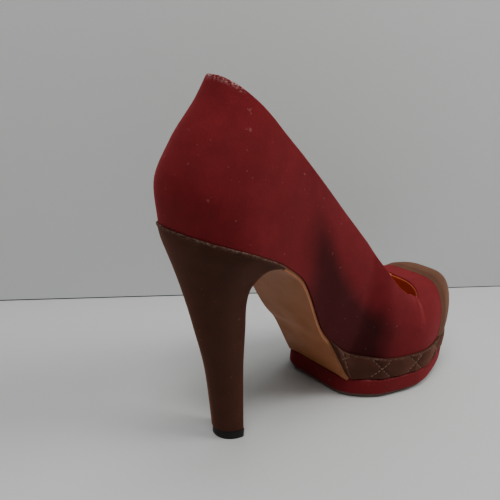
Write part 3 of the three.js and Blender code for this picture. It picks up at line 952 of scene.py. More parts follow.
@dataclass
class Upper:
    """The lasted upper: one wall with its lining, whose edge is folded around the opening."""

    wall: float = 0.0018
    fold_reach: float = 0.0006
    back_columns: int = 100
    throat_columns: int = 48
    front_columns: int = 56
    rows: int = 46
    fold_rows: int = 8
    crowding: float = 1.8
    crease_fade_top: float = 6.0
    crease_fade_foot: float = 8.0
    fray_reach: float = 0.0026
    fray: float = 0.9
    # Painted shade over the hollow of the arch: where it fades out upward, its share on the far side, where
    # it starts and ends along the last as shares of its length, and its height at the rear and the front
    shade_full: float = 0.45
    shade_far: float = 0.6
    shade_rear: tuple[float, float] = (0.22, 0.42)
    shade_front: tuple[float, float] = (0.54, 0.7)
    frayed: tuple[float, float] = (0.013, 0.025)
    shade_low: float = 0.03
    shade_high: float = 0.062
    creases: tuple[Crease, ...] = (
        Crease((0.137, 0.42), (0.16, 0.6), 0.0003, 0.003),
        Crease((0.144, 0.3), (0.166, 0.5), -0.00015, 0.0024),
        Crease((0.096, 0.25), (0.118, 0.5), 0.0004, 0.005),
        Crease((0.02, 0.12), (0.05, 0.3), 0.0003, 0.005),
        Crease((0.137, 0.5), (0.163, 0.72), 0.00035, 0.0028, Side.FAR),
        Crease((0.15, 0.3), (0.174, 0.5), 0.0003, 0.0026, Side.FAR),
    )

    def stations(self) -> Places:
        """Spreads the columns, closer together at both ends and before the throat's front.

        Returns:
            The stations.
        """
        reach = LAST.throat_length - LAST.throat_start
        back = LAST.throat_start * (1 - np.cos(np.linspace(0, math.pi / 2, self.back_columns + 1)))
        turn = np.linspace(math.pi / 2, 0, self.throat_columns + 1)[1:]
        throat = LAST.throat_start + reach * np.cos(turn) ** (2 / LAST.throat_squareness)
        share = np.sin(np.linspace(0, math.pi / 2, self.front_columns + 1))[1:]
        front = LAST.throat_length + (LAST.length - LAST.throat_length) * share
        return np.concatenate([back, throat, front])

    def highest_angle(self, x: Places, side: float) -> Places:
        """Finds where each station meets the opening.

        Args:
            x: stations along the last.
            side: below 0 for the near side.

        Returns:
            The angles, a right angle where none does.
        """
        low, high = np.zeros_like(x), np.full_like(x, math.pi / 2)
        for _ in range(HALVINGS):
            angle = (low + high) / 2
            inside = LAST.opening(LAST.point(x, angle, np.full_like(x, side))) > 0
            low, high = np.where(inside, low, angle), np.where(inside, angle, high)
        return np.where(x >= LAST.throat_length, math.pi / 2, low)

    def skin(self) -> Skin:
        """Lays the grids of the upper's outside.

        Returns:
            The grids.
        """
        x = self.stations()
        share = 1 - (1 - np.linspace(0, 1, self.rows + 1)) ** self.crowding
        tops = np.stack([self.highest_angle(x, side.value) for side in Side])
        angle = tops[:, :, None] * share
        return Skin(np.broadcast_to(x[None, :, None], angle.shape), angle)

    def fold(self, skin: Skin) -> Places:
        """Rounds the edge of the opening.

        Args:
            skin: the upper's outside.

        Returns:
            The edge, as side by columns by rows.
        """
        last = self.back_columns + self.throat_columns
        edge, normal = skin.points[:, : last + 1, -1], skin.normals[:, : last + 1, -1]
        loop = np.concatenate([edge[0, ::-1], edge[1, 1:-1]])
        along = np.roll(loop, -1, 0) - np.roll(loop, 1, 0)
        far = np.concatenate([along[last:], along[:1]])
        tangent = np.stack([along[: last + 1][::-1], far])
        over = np.cross(tangent, normal)
        over /= np.linalg.norm(over, axis=-1)[..., None] + TINY
        ahead = edge - skin.points[:, : last + 1, -3]
        over *= np.sign((over * ahead).sum(-1))[..., None]
        turn = np.linspace(0, math.pi, self.fold_rows + 1)[None, None, :, None]
        centre = (edge - normal * self.wall / 2)[:, :, None]
        radial = normal[:, :, None] * np.cos(turn) * self.wall / 2
        return centre + radial + over[:, :, None] * np.sin(turn) * self.fold_reach

    def build(self, finishes: Finishes) -> None:
        """Builds the wall's two faces, its folded edge and its foot, and presses the creases in.

        Args:
            finishes: the shoe's finishes.
        """
        skin = self.skin()
        sink = sum(crease.sink(skin.points) for crease in self.creases)
        share = np.linspace(0, 1, self.rows + 1)
        below = np.clip((1 - share) * self.crease_fade_top, 0, 1)
        free = below * np.clip(share * self.crease_fade_foot, 0, 1)
        outside = skin.points - skin.normals * (sink * free)[..., None]
        inside = skin.points - skin.normals * self.wall
        fold = self.fold(skin)
        half = self.fold_rows // 2 + 1
        pieces = []
        for n, side in enumerate(Side):
            label = side.name.lower()
            for name, grid, material in (
                ("outside", outside[n], finishes.burgundy),
                ("fold", fold[n][:, :half], finishes.burgundy),
                # The inner half of the fold takes the paler edge finish, partly a painted highlight
                ("fold_in", fold[n][:, half - 1 :], finishes.lining_edge_and_highlight),
                ("lining", inside[n], finishes.lining),
                ("foot", np.stack([outside[n][:, 0], inside[n][:, 0]], 1), finishes.burgundy),
            ):
                piece = sheet(f"upper_{name}_{label}", grid)
                dress(piece, material)
                pieces.append(piece)
        upper = weld("upper_wall", pieces)
        edge = skin.points[:, : self.back_columns + self.throat_columns, -1]
        counter = edge[(edge[..., 0] > self.frayed[0]) & (edge[..., 0] < self.frayed[1])]
        shed_wear(upper, counter, self.fray_reach, self.fray)
        # Paints shade into the suede over the hollow of the arch's near side
        self.paint_arch_shade(upper)
        ride(upper, "burgundy_suede", "upper")

    def paint_arch_shade(self, upper: Object) -> None:
        """Stores how strongly painted shade darkens the suede over the hollow of the arch's near side.

        Args:
            upper: the upper's wall.
        """
        places = read_points(upper) - SHIFT
        x, up = places[:, 0] / LAST.length, places[:, 2] - LAST.feather(places[:, 0])
        (rear, rear_full), (front_full, front) = self.shade_rear, self.shade_front
        along = ease((x - rear) / (rear_full - rear)) * (1 - ease((x - front_full) / (front - front_full)))
        fall = 1 - np.clip((x - rear) / (front - rear), 0, 1)
        height = self.shade_low + (self.shade_high - self.shade_low) * fall
        upward = 1 - ease((up / height - self.shade_full) / (1 - self.shade_full))
        near = places[:, 1] < LAST.middle(places[:, 0])
        store(upper, "painted_shade", along * upward * np.where(near, 1.0, self.shade_far))


@dataclass
class ToeCap:
    """The suede cap over the toe, whose rear edge is skived thin."""

    gap: float = 0.0003
    thickness: float = 0.0011
    edge_share: float = 0.13
    skive: float = 0.005
    columns: int = 60
    rows: int = 50
    crowding: float = 1.8
    search_start: float = 0.16
    inside_share: float = 0.8
    wear_reach: float = 0.0015
    wear: float = 0.12

    def start(self, angle: Places, side: float) -> Places:
        """Finds where the cap starts.

        Args:
            angle: turns up from the feather line.
            side: below 0 for the near side.

        Returns:
            The station at each angle.
        """
        low, high = np.full_like(angle, self.search_start), np.full_like(angle, LAST.length)
        for _ in range(HALVINGS):
            x = (low + high) / 2
            point = LAST.point(x, angle, np.full_like(angle, side))
            ahead = point[..., 0] > LAST.cap_at(point[..., 1])
            low, high = np.where(ahead, low, x), np.where(ahead, x, high)
        return high

    def build(self, finishes: Finishes) -> None:
        """Builds the cap as one closed skin.

        Args:
            finishes: the shoe's finishes.
        """
        turn = (1 - (1 - np.linspace(0, 1, self.rows + 1)) ** self.crowding) * math.pi / 2
        share = np.sin(np.linspace(0, math.pi / 2, self.columns + 1))
        starts = np.stack([self.start(turn, side.value) for side in Side])
        x = starts[:, None] + (LAST.length - starts[:, None]) * share[None, :, None]
        skin = Skin(x, np.broadcast_to(turn[None, None], x.shape))
        thin = self.edge_share + (1 - self.edge_share) * ease((x - starts[:, None]) / self.skive)
        outside = skin.points + skin.normals * ((self.gap + self.thickness) * thin)[..., None]
        lifted = self.gap * (thin - self.edge_share * self.inside_share)
        inside = skin.points + skin.normals * lifted[..., None]
        pieces = []
        for n, side in enumerate(Side):
            label = side.name.lower()
            rear = np.stack([outside[n][0], inside[n][0]], 0)
            foot = np.stack([outside[n][:, 0], inside[n][:, 0]], 1)
            grids = {"outside": outside[n], "inside": inside[n], "rear": rear, "foot": foot}
            pieces += [sheet(f"cap_{name}_{label}", grid) for name, grid in grids.items()]
        cap = weld("toe_cap_skin", pieces)
        dress(cap, finishes.cap_brown)
        rear = LAST.point(starts[0], turn, np.full_like(turn, -1.0))
        shed_wear(cap, rear, self.wear_reach, self.wear)
        ride(cap, "brown_suede", "toe_cap")


class Outline:
    """The plan outline of the feather line from rear to toe, moved outward."""

    def __init__(self, grow: float, rear: float = 0.0, corner: float = 0.0, steps: int = 150) -> None:
        """Works out the outline.

        Args:
            grow: distance outward from the feather line.
            rear: where the outline is cut off.
            corner: radius of its two rear corners.
            steps: stations from rear to toe.
        """
        x = stations(rear, LAST.length, steps)
        short = np.maximum(0, corner - (x - rear))
        inset = corner - np.sqrt(corner**2 - short**2)
        near = np.stack([x, LAST.middle(x) - (LAST.half_width(x, np.array(-1.0)) - inset)], -1)
        far = np.stack([x, LAST.middle(x) + (LAST.half_width(x, np.array(1.0)) - inset)], -1)
        loop = np.concatenate([near, far[::-1][1:]], 0)
        ahead, behind = np.roll(loop, -1, 0), np.roll(loop, 1, 0)
        along = ahead - behind
        along /= np.linalg.norm(along, axis=1)[:, None] + TINY
        self.outward = np.stack([along[:, 1], -along[:, 0]], -1)
        self.points = loop + self.outward * grow
        self.steps = steps

    def arc(self) -> Places:
        """Returns the length along the outline up to each point."""
        gaps = np.linalg.norm(np.diff(self.points, axis=0), axis=1)
        return np.concatenate([[0.0], np.cumsum(gaps)])


def slab(name: str, outline: Outline, low: Callable, high: Callable, radius: float) -> Object:
    """Builds a closed slab with rounded edges.

    Args:
        name: the object's name.
        outline: its plan outline.
        low: height of its underside at x.
        high: height of its top at x.
        radius: radius of its edges.

    Returns:
        The slab.
    """
    middle = LAST.middle(outline.points[:, 0])
    rows = []

    def lay(inset: float, share: float, height: Callable) -> None:
        """Adds a row of points.

        Args:
            inset: how far it lies inside the outline.
            share: its share of the outline's width.
            height: its height at x.
        """
        moved = outline.points - outline.outward * inset
        y = middle + (moved[:, 1] - middle) * share
        rows.append(np.stack([moved[:, 0], y, height(moved[:, 0])], -1))

    corner_steps, face_shares, wall_shares = 4, (0.0, 0.4, 0.8, 1.0), (0.33, 0.67)
    turns = np.linspace(math.pi / 2, 0, corner_steps + 1)[1:]
    corner = [((1 - math.cos(turn)) * radius, (1 - math.sin(turn)) * radius) for turn in turns]
    for share in face_shares:
        lay(radius, share, low)
    for inset, lift in corner:
        lay(inset, 1.0, lambda x: low(x) + lift)
    for share in wall_shares:
        lay(0.0, 1.0, lambda x: low(x) + radius + (high(x) - low(x) - 2 * radius) * share)
    for inset, lift in corner[::-1]:
        lay(inset, 1.0, lambda x: high(x) - lift)
    for share in face_shares[::-1]:
        lay(radius, share, high)
    return closed_skin(name, rows, SLAB_EDGES)


@dataclass
class Platform:
    """The platform: a padded quilted side over the wedge, the lower layer and the outsole."""

    quilted_ledge: float = 0.0009
    lower_ledge: float = 0.0014
    lower_top: float = 0.0123
    rear: float = 0.117
    rear_corner: float = 0.009
    wedge_start: float = 0.095
    sole_spring: float = 0.0085
    sole_spring_start: float = 0.159
    outsole_thickness: float = 0.0022
    outsole_inset: float = 0.0006
    shank_thickness: float = 0.0018
    shank_inset: float = 0.0008
    heel_seat: float = 0.046
    gap: float = 0.0003
    sole_blend: float = 0.0007
    diamond: float = 0.0257
    diamond_shift: float = -0.0058
    slant: float = 1.15
    puff: float = 0.0013
    puff_power: float = 0.55
    band_setback: float = 0.0004
    band_steps: int = 520
    band_rows: int = 28
    band_rim: float = 0.0011
    band_lift: float = 0.0003
    band_sink: float = 0.0004
    least_height: float = 0.0002
    wear_reach: float = 0.0016
    wear: float = 0.5
    seam_steps: int = 900
    seam_reach: float = 0.0084
    seam_end: float = 0.004
    seam_margin: float = 0.0006
    stitch_pitch: float = 0.0016
    stitch_length: float = 0.0018
    stitch_radius: float = 0.00022
    stitch_lift: float = 0.0001
    lower_corner: float = 0.0012
    lower_wear_reach: float = 0.0012
    lower_wear: float = 0.3
    outsole_corner: float = 0.0005
    slope_step: float = 0.0002
    sole_columns: int = 120
    sole_rows: int = 17

    def outsole_rise(self, x: Places) -> Places:
        """Returns the outsole's rise above the floor at x."""
        share = np.maximum(0, (x - self.sole_spring_start) / (LAST.length - self.sole_spring_start))
        return self.sole_spring * share**2

    def lower_layer_top(self, x: Places) -> Places:
        """Returns the height of the lower layer's top at x."""
        return self.lower_top + self.outsole_rise(x)

    def sole_line(self, x: Places) -> Places:
        """Follows the line of the shank sole, down the wedge.

        Args:
            x: stations along the last.

        Returns:
            The line's heights.
        """
        foot = self.rear + self.shank_thickness + self.gap
        start = LAST.feather(np.array(self.wedge_start))
        slope = (start - self.lower_top) / (foot - self.wedge_start)
        straight = start - slope * (x - self.wedge_start)
        arch = LAST.feather(np.minimum(x, self.rear))
        return -self.sole_blend * np.logaddexp(-arch / self.sole_blend, -straight / self.sole_blend)

    def band_bottom(self, x: Places) -> Places:
        """Returns the height of the quilted side's lower edge at x."""
        return np.maximum(self.sole_line(x), self.lower_layer_top(x) + self.gap)

    def puff_height(self, along: Places, up: Places) -> Places:
        """Works out how far the padding stands out between its seams.

        Args:
            along: lengths along the side.
            up: heights above its middle.

        Returns:
            The shares of the full puff.
        """
        a = np.abs(np.sin(math.pi * (along + up * self.slant) / self.diamond))
        b = np.abs(np.sin(math.pi * (along - up * self.slant) / self.diamond))
        return np.minimum(a, b) ** self.puff_power

    def band(self, finishes: Finishes) -> Object:
        """Builds the padded side of the quilted layer, proud of the wedge's own solid.

        Args:
            finishes: the shoe's finishes.

        Returns:
            The padded side.
        """
        outline = Outline(self.quilted_ledge, self.wedge_start + self.band_setback, 0.0, self.band_steps)
        base = outline.points
        top = LAST.feather(base[:, 0]) - self.gap
        bottom = np.minimum(self.band_bottom(base[:, 0]), top - self.least_height)
        along = self.seam_places(outline)
        height = top - bottom
        rows = []
        for share in stations(0, 1, self.band_rows):
            z = bottom + height * share
            rim = np.minimum(1.0, np.minimum(share, 1 - share) * height / self.band_rim)
            rise = np.sqrt(1 - (1 - rim) ** 2)
            puffed = self.puff * self.puff_height(along, z - (bottom + top) / 2)
            out = rise * (self.band_lift + puffed * rise) - self.band_sink
            rows.append(np.column_stack([base + outline.outward * out[:, None], z]))
        band = sheet("quilted_cover", np.stack(rows, 1))
        recalculate(band)
        smooth(band, SOFT_EDGES)
        dress(band, finishes.brown)
        shed_wear(band, np.column_stack([base, top]), self.wear_reach, self.wear)
        return ride(band, "brown_suede")

    def seam_places(self, outline: Outline) -> Places:
        """Returns the lengths along an outline, counted from the toe, that the seams are laid by."""
        arc = outline.arc()
        return arc - arc[outline.steps] + self.diamond_shift

    def stitches(self, finishes: Finishes) -> Object:
        """Lays the quilting stitches in the grooves between the diamonds.

        Args:
            finishes: the shoe's finishes.

        Returns:
            All the stitches as one object.
        """
        outline = Outline(self.quilted_ledge, self.wedge_start + self.band_setback, 0.0, self.seam_steps)
        arc = self.seam_places(outline)
        line = outline.points + outline.outward * self.stitch_lift
        top = LAST.feather(outline.points[:, 0]) - self.gap
        columns = (*line.T, self.band_bottom(outline.points[:, 0]), top)

        def place(number: int, lean: int, up: float) -> Optional[Places]:
            """Finds a place on a seam.

            Args:
                number: the seam's number.
                lean: the way it leans, -1 or 1.
                up: the height above the middle of the side.

            Returns:
                The place, or None where it isn't on the quilted side.
            """
            along = number * self.diamond + lean * up * self.slant
            x, y, low, high = (np.interp(along, arc, column) for column in columns)
            z = (high + low) / 2 + up
            within = arc[0] + self.seam_end < along < arc[-1] - self.seam_end
            below = low + self.seam_margin < z < high - self.seam_margin
            return np.array([x, y, z]) if within and below else None

        seams = range(int(arc[0] // self.diamond) - 1, int(arc[-1] // self.diamond) + 2)
        heights = np.arange(-self.seam_reach, self.seam_reach, self.stitch_pitch)
        rise = self.stitch_length / math.hypot(1, self.slant)
        made = []
        for lean, number, up in itertools.product((-1, 1), seams, heights):
            start, end = place(number, lean, up), place(number, lean, up + rise)
            if start is not None and end is not None:
                made.append((start, end))
        return self.lay_stitches("quilting_stitches", made, self.stitch_radius, finishes)

    @staticmethod
    def lay_stitches(name: str, ends: Sequence[tuple], radius: float, finishes: Finishes) -> Object:
        """Models one stitch and lays a copy between each pair of ends.

        Args:
            name: the object's name.
            ends: the pairs of ends.
            radius: the thread's radius.
            finishes: the shoe's finishes.

        Returns:
            The stitches.
        """
        deselect_all()
        bpy.ops.mesh.primitive_uv_sphere_add(segments=8, ring_count=6, radius=1.0)
        model = bpy.context.object
        shape = np.array([v.co for v in model.data.vertices])
        faces = [list(f.vertices) for f in model.data.polygons]
        bpy.data.objects.remove(model)
        places, polygons = [], []
        for start, end in ends:
            middle, along = (start + end) / 2, (end - start) / 2
            reach = np.linalg.norm(along)
            direction = Vector(along / reach)
            turn = np.array(direction.to_track_quat("Z", "Y").to_matrix())
            first = sum(len(p) for p in places)
            sized = shape * np.array([radius, radius, reach])
            places.append(sized @ turn.T + middle + SHIFT)
            polygons.extend([[i + first for i in face] for face in faces])
        mesh = bpy.data.meshes.new(name)
        mesh.from_pydata(np.concatenate(places).tolist(), [], polygons)
        obj = bpy.data.objects.new(name, mesh)
        bpy.context.scene.collection.objects.link(obj)
        smooth(obj, 80)
        dress(obj, finishes.thread)
        return ride(obj, "brown_suede")

    def lower_layer(self, finishes: Finishes) -> Object:
        """Builds the covered lower layer.

        Args:
            finishes: the shoe's finishes.

        Returns:
            The layer.
        """
        outline = Outline(self.lower_ledge, self.rear, self.rear_corner)
        layer = slab(
            "lower_layer", outline, lambda x: self.outsole_thickness + self.outsole_rise(x) + self.gap,
            self.lower_layer_top, self.lower_corner,
        )
        dress(layer, finishes.burgundy)
        x = outline.points[:, 0]
        line = np.column_stack([outline.points, self.lower_layer_top(x)])
        foot = np.column_stack([outline.points, self.outsole_rise(x) + self.outsole_thickness])
        shed_wear(layer, np.concatenate([line, foot]), self.lower_wear_reach, self.lower_wear)
        return ride(layer, "burgundy_suede", "platform")

    def outsole(self, finishes: Finishes) -> Object:
        """Builds the thin outsole.

        Args:
            finishes: the shoe's finishes.

        Returns:
            The outsole.
        """
        outline = Outline(-self.outsole_inset, self.rear, self.rear_corner)
        sole = slab(
            "outsole_leather", outline, self.outsole_rise,
            lambda x: self.outsole_thickness + self.outsole_rise(x), self.outsole_corner,
        )
        dress(sole, finishes.edge)
        return ride(sole, "tan_leather", "outsole")

    def shank_sole(self, finishes: Finishes) -> Object:
        """Builds the tan sole under the arch, down to the platform's rear.

        Args:
            finishes: the shoe's finishes.

        Returns:
            The sole.
        """
        x = np.linspace(self.heel_seat + self.gap, self.rear + self.shank_thickness, self.sole_columns)
        step = self.slope_step
        slope = (self.sole_line(x + step) - self.sole_line(x - step)) / (2 * step)
        square = np.hypot(1, slope)
        across = np.linspace(-1, 1, self.sole_rows)
        top, under = [], []
        for distance, rows in ((-self.gap, top), (-self.gap - self.shank_thickness, under)):
            px = x - slope / square * distance
            pz = self.sole_line(x) + distance / square
            near = LAST.middle(px) - LAST.half_width(px, np.array(-1.0)) + self.shank_inset
            far = LAST.middle(px) + LAST.half_width(px, np.array(1.0)) - self.shank_inset
            for share in across:
                y = (near + far) / 2 + (far - near) / 2 * share
                rows.append(np.stack([px, y, pz], -1))
        ring = [*top, *under[::-1], top[0]]
        sole = sheet("arch_sole", np.stack(ring, 1))
        edit(sole, bpy.ops.mesh.fill_holes, sides=0)
        recalculate(sole)
        smooth(sole)
        dress(sole, finishes.tan)
        return ride(sole, "tan_leather", "shank_sole")

    def build(self, finishes: Finishes) -> None:
        """Builds all the pieces of the platform.

        Args:
            finishes: the shoe's finishes.
        """
        self.band(finishes)
        self.stitches(finishes)
        self.lower_layer(finishes)
        self.outsole(finishes)
        self.shank_sole(finishes)
        dress(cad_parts["quilted_platform"], finishes.brown)


@dataclass
class Heel:
    """The covered heel and its top piece."""

    tip_length: float = 0.0112
    tip_width: float = 0.018
    tip_setback: float = HEEL_TIP_SETBACK
    seat_length: float = 0.046
    breast_hollow: float = 0.011
    rim_thickness: float = 0.0013
    rim_ledge: float = 0.0004
    rim_bulge: float = 0.0005
    rim_blend: float = 0.6
    rim_rings: int = 9
    cover_rings: int = 70
    closing_size: float = 0.005
    ring_steps: int = 96
    breast_steps: int = 33
    corner_passes: int = 3
    wear_reach: float = 0.0022
    wear: float = 0.5
    lift: float = 0.0048
    gap: float = 0.0003
    # level, size
    top_piece: Table = (
        (0.0, 0.005), (0.0, 0.9), (0.0, 0.96), (0.0003, 1.0), (0.0024, 1.0), (0.0046, 1.0), (0.0048, 0.97),
        (0.0048, 0.005),
    )
    # up, back, hollow, spread, tilt
    profile: Table = (
        (0.0, 0.0, 0.0, 0.0, 0.0), (0.34, 0.24, 0.42, 0.03, 0.0), (0.57, 0.49, 0.68, 0.14, 0.05),
        (0.7, 0.63, 0.92, 0.28, 0.2), (0.8, 0.74, 1.0, 0.43, 0.5), (0.9, 0.87, 0.85, 0.69, 0.75),
        (0.95, 0.94, 0.7, 0.85, 0.9), (1.0, 1.0, 0.0, 1.0, 1.0),
    )

    def ring(self, up: float, level: float, grow: float = 0.0) -> Places:
        """Returns one section of the heel, a closed D with its round side to the back.

        Args:
            up: the section's share of the heel's height.
            level: its height at the heel's back.
            grow: distance outward.

        Returns:
            The section's points.
        """
        share = {n: float(Curve(self.profile, n)(np.array(up))) for n in range(1, 5)}
        back = self.tip_setback + (-self.rim_ledge - self.tip_setback) * share[1]
        front = self.tip_setback + self.tip_length
        front += (self.seat_length - front) * up - share[2] * self.breast_hollow
        turn = np.linspace(0, math.pi, self.ring_steps + 1)
        behind = 1 - np.sin(turn)
        side = np.where(turn <= math.pi / 2, -1.0, 1.0)
        x = back + (front - back) * behind
        seat = self.seat_length * behind
        seat_y = side * (LAST.half_width(seat, side) + self.rim_ledge * np.abs(np.cos(turn)))
        tip_y = -np.cos(turn) * self.tip_width / 2
        y = tip_y + (seat_y - tip_y) * share[3]
        breast = np.linspace(0, 1, self.breast_steps + 1)[1:-1]
        x = np.concatenate([x, np.full(len(breast), front)])
        y = np.concatenate([y, y[-1] + (y[0] - y[-1]) * breast])
        loop = np.stack([x, y], -1)
        for _ in range(self.corner_passes):
            loop = (np.roll(loop, 1, 0) + 2 * loop + np.roll(loop, -1, 0)) / 4
        if grow:
            along = np.roll(loop, -1, 0) - np.roll(loop, 1, 0)
            along /= np.linalg.norm(along, axis=1)[:, None]
            loop = loop + np.stack([along[:, 1], -along[:, 0]], -1) * -grow
        slope = share[4] * (LAST.feather(np.maximum(0, loop[:, 0])) - LAST.heel_height)
        return np.column_stack([loop, level + slope])

    @staticmethod
    def sized(ring: Places, size: float) -> Places:
        """Draws a ring in toward its centre.

        Args:
            ring: the ring's points.
            size: the share of its size that is left.

        Returns:
            The smaller ring.
        """
        made = ring.copy()
        centre = ring[:, :2].mean(0)
        made[:, :2] = centre + (ring[:, :2] - centre) * size
        return made

    def build(self, finishes: Finishes) -> None:
        """Builds the covered heel and the top piece.

        Args:
            finishes: the shoe's finishes.
        """
        bottom = self.lift + self.gap
        rings = [self.sized(self.ring(bottom / LAST.heel_height, bottom), self.closing_size)]
        for up in np.linspace(bottom / LAST.heel_height, 1, self.cover_rings):
            drop = ease((up - self.rim_blend) / (1 - self.rim_blend)) * (self.rim_thickness + self.gap)
            rings.append(self.ring(up, up * LAST.heel_height - drop))
        for turn in np.linspace(-math.pi / 2, math.pi / 2, self.rim_rings):
            level = LAST.heel_height - self.gap - self.rim_thickness * (1 - math.sin(turn)) / 2
            rings.append(self.ring(1.0, level, self.rim_bulge * math.cos(turn)))
        seat = self.ring(1.0, LAST.heel_height - self.gap)
        top = self.sized(seat, self.closing_size)
        top[:, 2] = LAST.feather(np.maximum(0, top[:, 0])) - self.gap
        heel = closed_skin("covered_heel", [*rings, top])
        dress(heel, finishes.brown)
        shed_wear(heel, seat, self.wear_reach, self.wear)
        ride(heel, "brown_suede", "heel")
        rings = [self.sized(self.ring(0.0, level), size) for level, size in self.top_piece]
        lift = closed_skin("heel_top_piece", rings)
        dress(lift, finishes.rubber)
        ride(lift, "dark_rubber", "heel_lift")


# Stage, light and camera


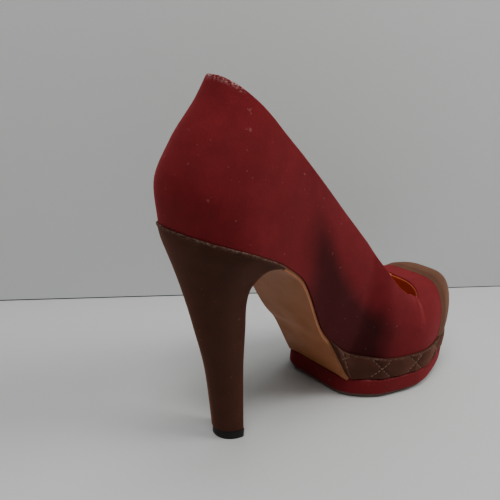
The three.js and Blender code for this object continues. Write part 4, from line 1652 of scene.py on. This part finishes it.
@dataclass
class Studio:
    """The plain room, the lights and the camera at the photograph's angle."""

    azimuth: float = -43.79
    elevation: float = 18.818
    roll: float = 5.036
    focal_pixels: float = 592.478
    distance: float = 0.2919
    target: tuple[float, float, float] = (0.058145, 0.011124, 0.091185)
    frame_pixels: float = 500.0
    drop_pixels: float = 1.0
    wall_left: tuple[float, float] = (0.0, 303.5)
    wall_right: tuple[float, float] = (500.0, 288.5)
    gap_height: float = 0.0028
    gap_depth: float = 0.004
    gap_foot: float = 0.0002
    floor_size: float = 6.0
    floor_cells: int = 8
    wall_reach: float = 3.0
    clip: tuple[float, float] = (0.01, 20.0)
    matt: float = 0.6
    room_colour: Colour = (0.55, 0.57, 0.57)
    gap_colour: Colour = (0.01, 0.012, 0.012)
    sky_colour: Colour = (0.75, 0.77, 0.78)
    sky_strength: float = 0.045
    light_colour: Colour = (1.0, 0.985, 0.96)
    light_aim: tuple[float, float, float] = (0.0, 0.0, 0.07)
    # name, place, size, power
    lights: tuple = (
        ("rear_key", (-0.42, -0.2, 0.85), 0.35, 4.4), ("toe_key", (0.85, 0.25, 0.7), 0.5, 2.6),
        ("ceiling", (0.0, 0.0, 1.1), 0.4, 2.7), ("near_key", (0.45, -0.55, 0.8), 0.4, 5.2),
        ("far_fill", (0.1, 0.6, 0.9), 0.4, 2.0), ("low_fill", (0.95, -0.3, 0.3), 0.4, 3.4),
    )

    def camera(self) -> None:
        """Places the camera."""
        data = bpy.data.cameras.new("camera")
        camera = bpy.data.objects.new("camera", data)
        bpy.context.scene.collection.objects.link(camera)
        data.lens = self.focal_pixels / self.frame_pixels * data.sensor_width
        data.clip_start, data.clip_end = self.clip
        data.shift_y = self.drop_pixels / self.frame_pixels
        camera.matrix_world = self.matrix()
        bpy.context.scene.camera = camera

    def matrix(self) -> Matrix:
        """Works out the camera's place and turn.

        Returns:
            Both as one matrix.
        """
        a, e, r = (math.radians(v) for v in (self.azimuth, self.elevation, self.roll))
        back = Vector((math.sin(a) * math.cos(e), -math.cos(a) * math.cos(e), math.sin(e)))
        right = Vector((-back.y, back.x, 0)).normalized()
        up = back.cross(right)
        turned_right = right * math.cos(r) + up * math.sin(r)
        turned_up = up * math.cos(r) - right * math.sin(r)
        matrix = Matrix((turned_right, turned_up, back)).transposed().to_4x4()
        matrix.translation = Vector(self.target) + Vector(SHIFT.tolist()) + back * self.distance
        return matrix

    def area(self, name: str, place: tuple, size: float, power: float) -> None:
        """Adds one soft light that points at the shoe.

        Args:
            name: the light's name.
            place: where it hangs.
            size: the side of its square.
            power: its power, in watts.
        """
        data = bpy.data.lights.new(name, "AREA")
        data.size, data.energy, data.color = size, power, self.light_colour
        light = bpy.data.objects.new(name, data)
        bpy.context.scene.collection.objects.link(light)
        light.location = place
        light.rotation_euler = (Vector(self.light_aim) - Vector(place)).to_track_quat("-Z", "Y").to_euler()

    def plain(self, name: str, colour: Colour, one_sided: bool) -> Material:
        """Builds a plain matt finish.

        Args:
            name: the material's name.
            colour: its colour.
            one_sided: whether it is clear when seen from behind.

        Returns:
            The material.
        """
        material = bpy.data.materials.new(name)
        material.use_nodes = True
        shader = material.node_tree.nodes["Principled BSDF"]
        shader.inputs["Base Color"].default_value = (*colour, 1)
        shader.inputs["Roughness"].default_value = self.matt
        if one_sided:
            make = NodeMaker(material.node_tree)
            behind = make.add("ShaderNodeNewGeometry").outputs["Backfacing"]
            make.link(make.math("SUBTRACT", 1.0, behind), shader.inputs["Alpha"])
        return material

    def room(self) -> None:
        """Builds the pale floor and the wall behind it."""
        material = self.plain("pale_floor", self.room_colour, False)
        deselect_all()
        cells = self.floor_cells
        bpy.ops.mesh.primitive_grid_add(x_subdivisions=cells, y_subdivisions=cells, size=self.floor_size)
        floor = bpy.context.object
        floor.name = "floor"
        dress(floor, material)
        self.wall()

    def ray(self, pixel: tuple[float, float]) -> tuple[Vector, Vector]:
        """Works out the line of sight through a pixel of the 500 by 500 picture.

        Args:
            pixel: the pixel.

        Returns:
            The camera's place and the line's direction.
        """
        camera = self.matrix()
        across = (pixel[0] - self.frame_pixels / 2) / self.focal_pixels
        down = (pixel[1] - self.frame_pixels / 2 - self.drop_pixels) / self.focal_pixels
        return camera.translation, camera.to_3x3() @ Vector((across, -down, -1.0))

    def on_floor(self, pixel: tuple[float, float]) -> Vector:
        """Returns the place on the floor that a pixel shows."""
        start, along = self.ray(pixel)
        return start - along * (start.z / along.z)

    def wall(self) -> None:
        """Builds the wall behind the floor, and the narrow dark gap at its foot."""
        left, right = (self.on_floor(pixel) for pixel in (self.wall_left, self.wall_right))
        along = (right - left).normalized()
        left, right = left - along * self.wall_reach, right + along * self.wall_reach
        back = along.cross(Vector((0, 0, 1))) * -1
        material = self.plain("pale_wall", self.room_colour, True)
        dark = self.plain("gap_shade", self.gap_colour, True)
        for name, low, high, behind, finish in (
            ("wall", self.gap_height, self.wall_reach, 0.0, material),
            ("wall_gap", self.gap_foot, self.gap_height * 2, self.gap_depth, dark),
        ):
            bpy.ops.mesh.primitive_plane_add(size=1.0)
            wall = bpy.context.object
            wall.name = name
            corners = (left, right, left, right)
            heights = (low, low, high, high)
            for vertex, corner, height in zip(wall.data.vertices, corners, heights):
                vertex.co = (corner.x + back.x * behind, corner.y + back.y * behind, height)
            dress(wall, finish)

    def build(self) -> None:
        """Builds the room, the lights and the camera."""
        self.room()
        for light in self.lights:
            self.area(*light)
        world = bpy.data.worlds.new("world")
        world.use_nodes = True
        sky = world.node_tree.nodes["Background"]
        sky.inputs["Color"].default_value = (*self.sky_colour, 1)
        sky.inputs["Strength"].default_value = self.sky_strength
        bpy.context.scene.world = world
        self.camera()


def main() -> None:
    """Builds every piece, the room and the camera."""
    logging.basicConfig(level=logging.INFO, format="%(name)s %(message)s")
    finishes = Finishes()
    Upper().build(finishes)
    ToeCap().build(finishes)
    dress(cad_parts["insole"], finishes.lining)
    Platform().build(finishes)
    Heel().build(finishes)
    Studio().build()


if __name__ == "__main__":
    main()
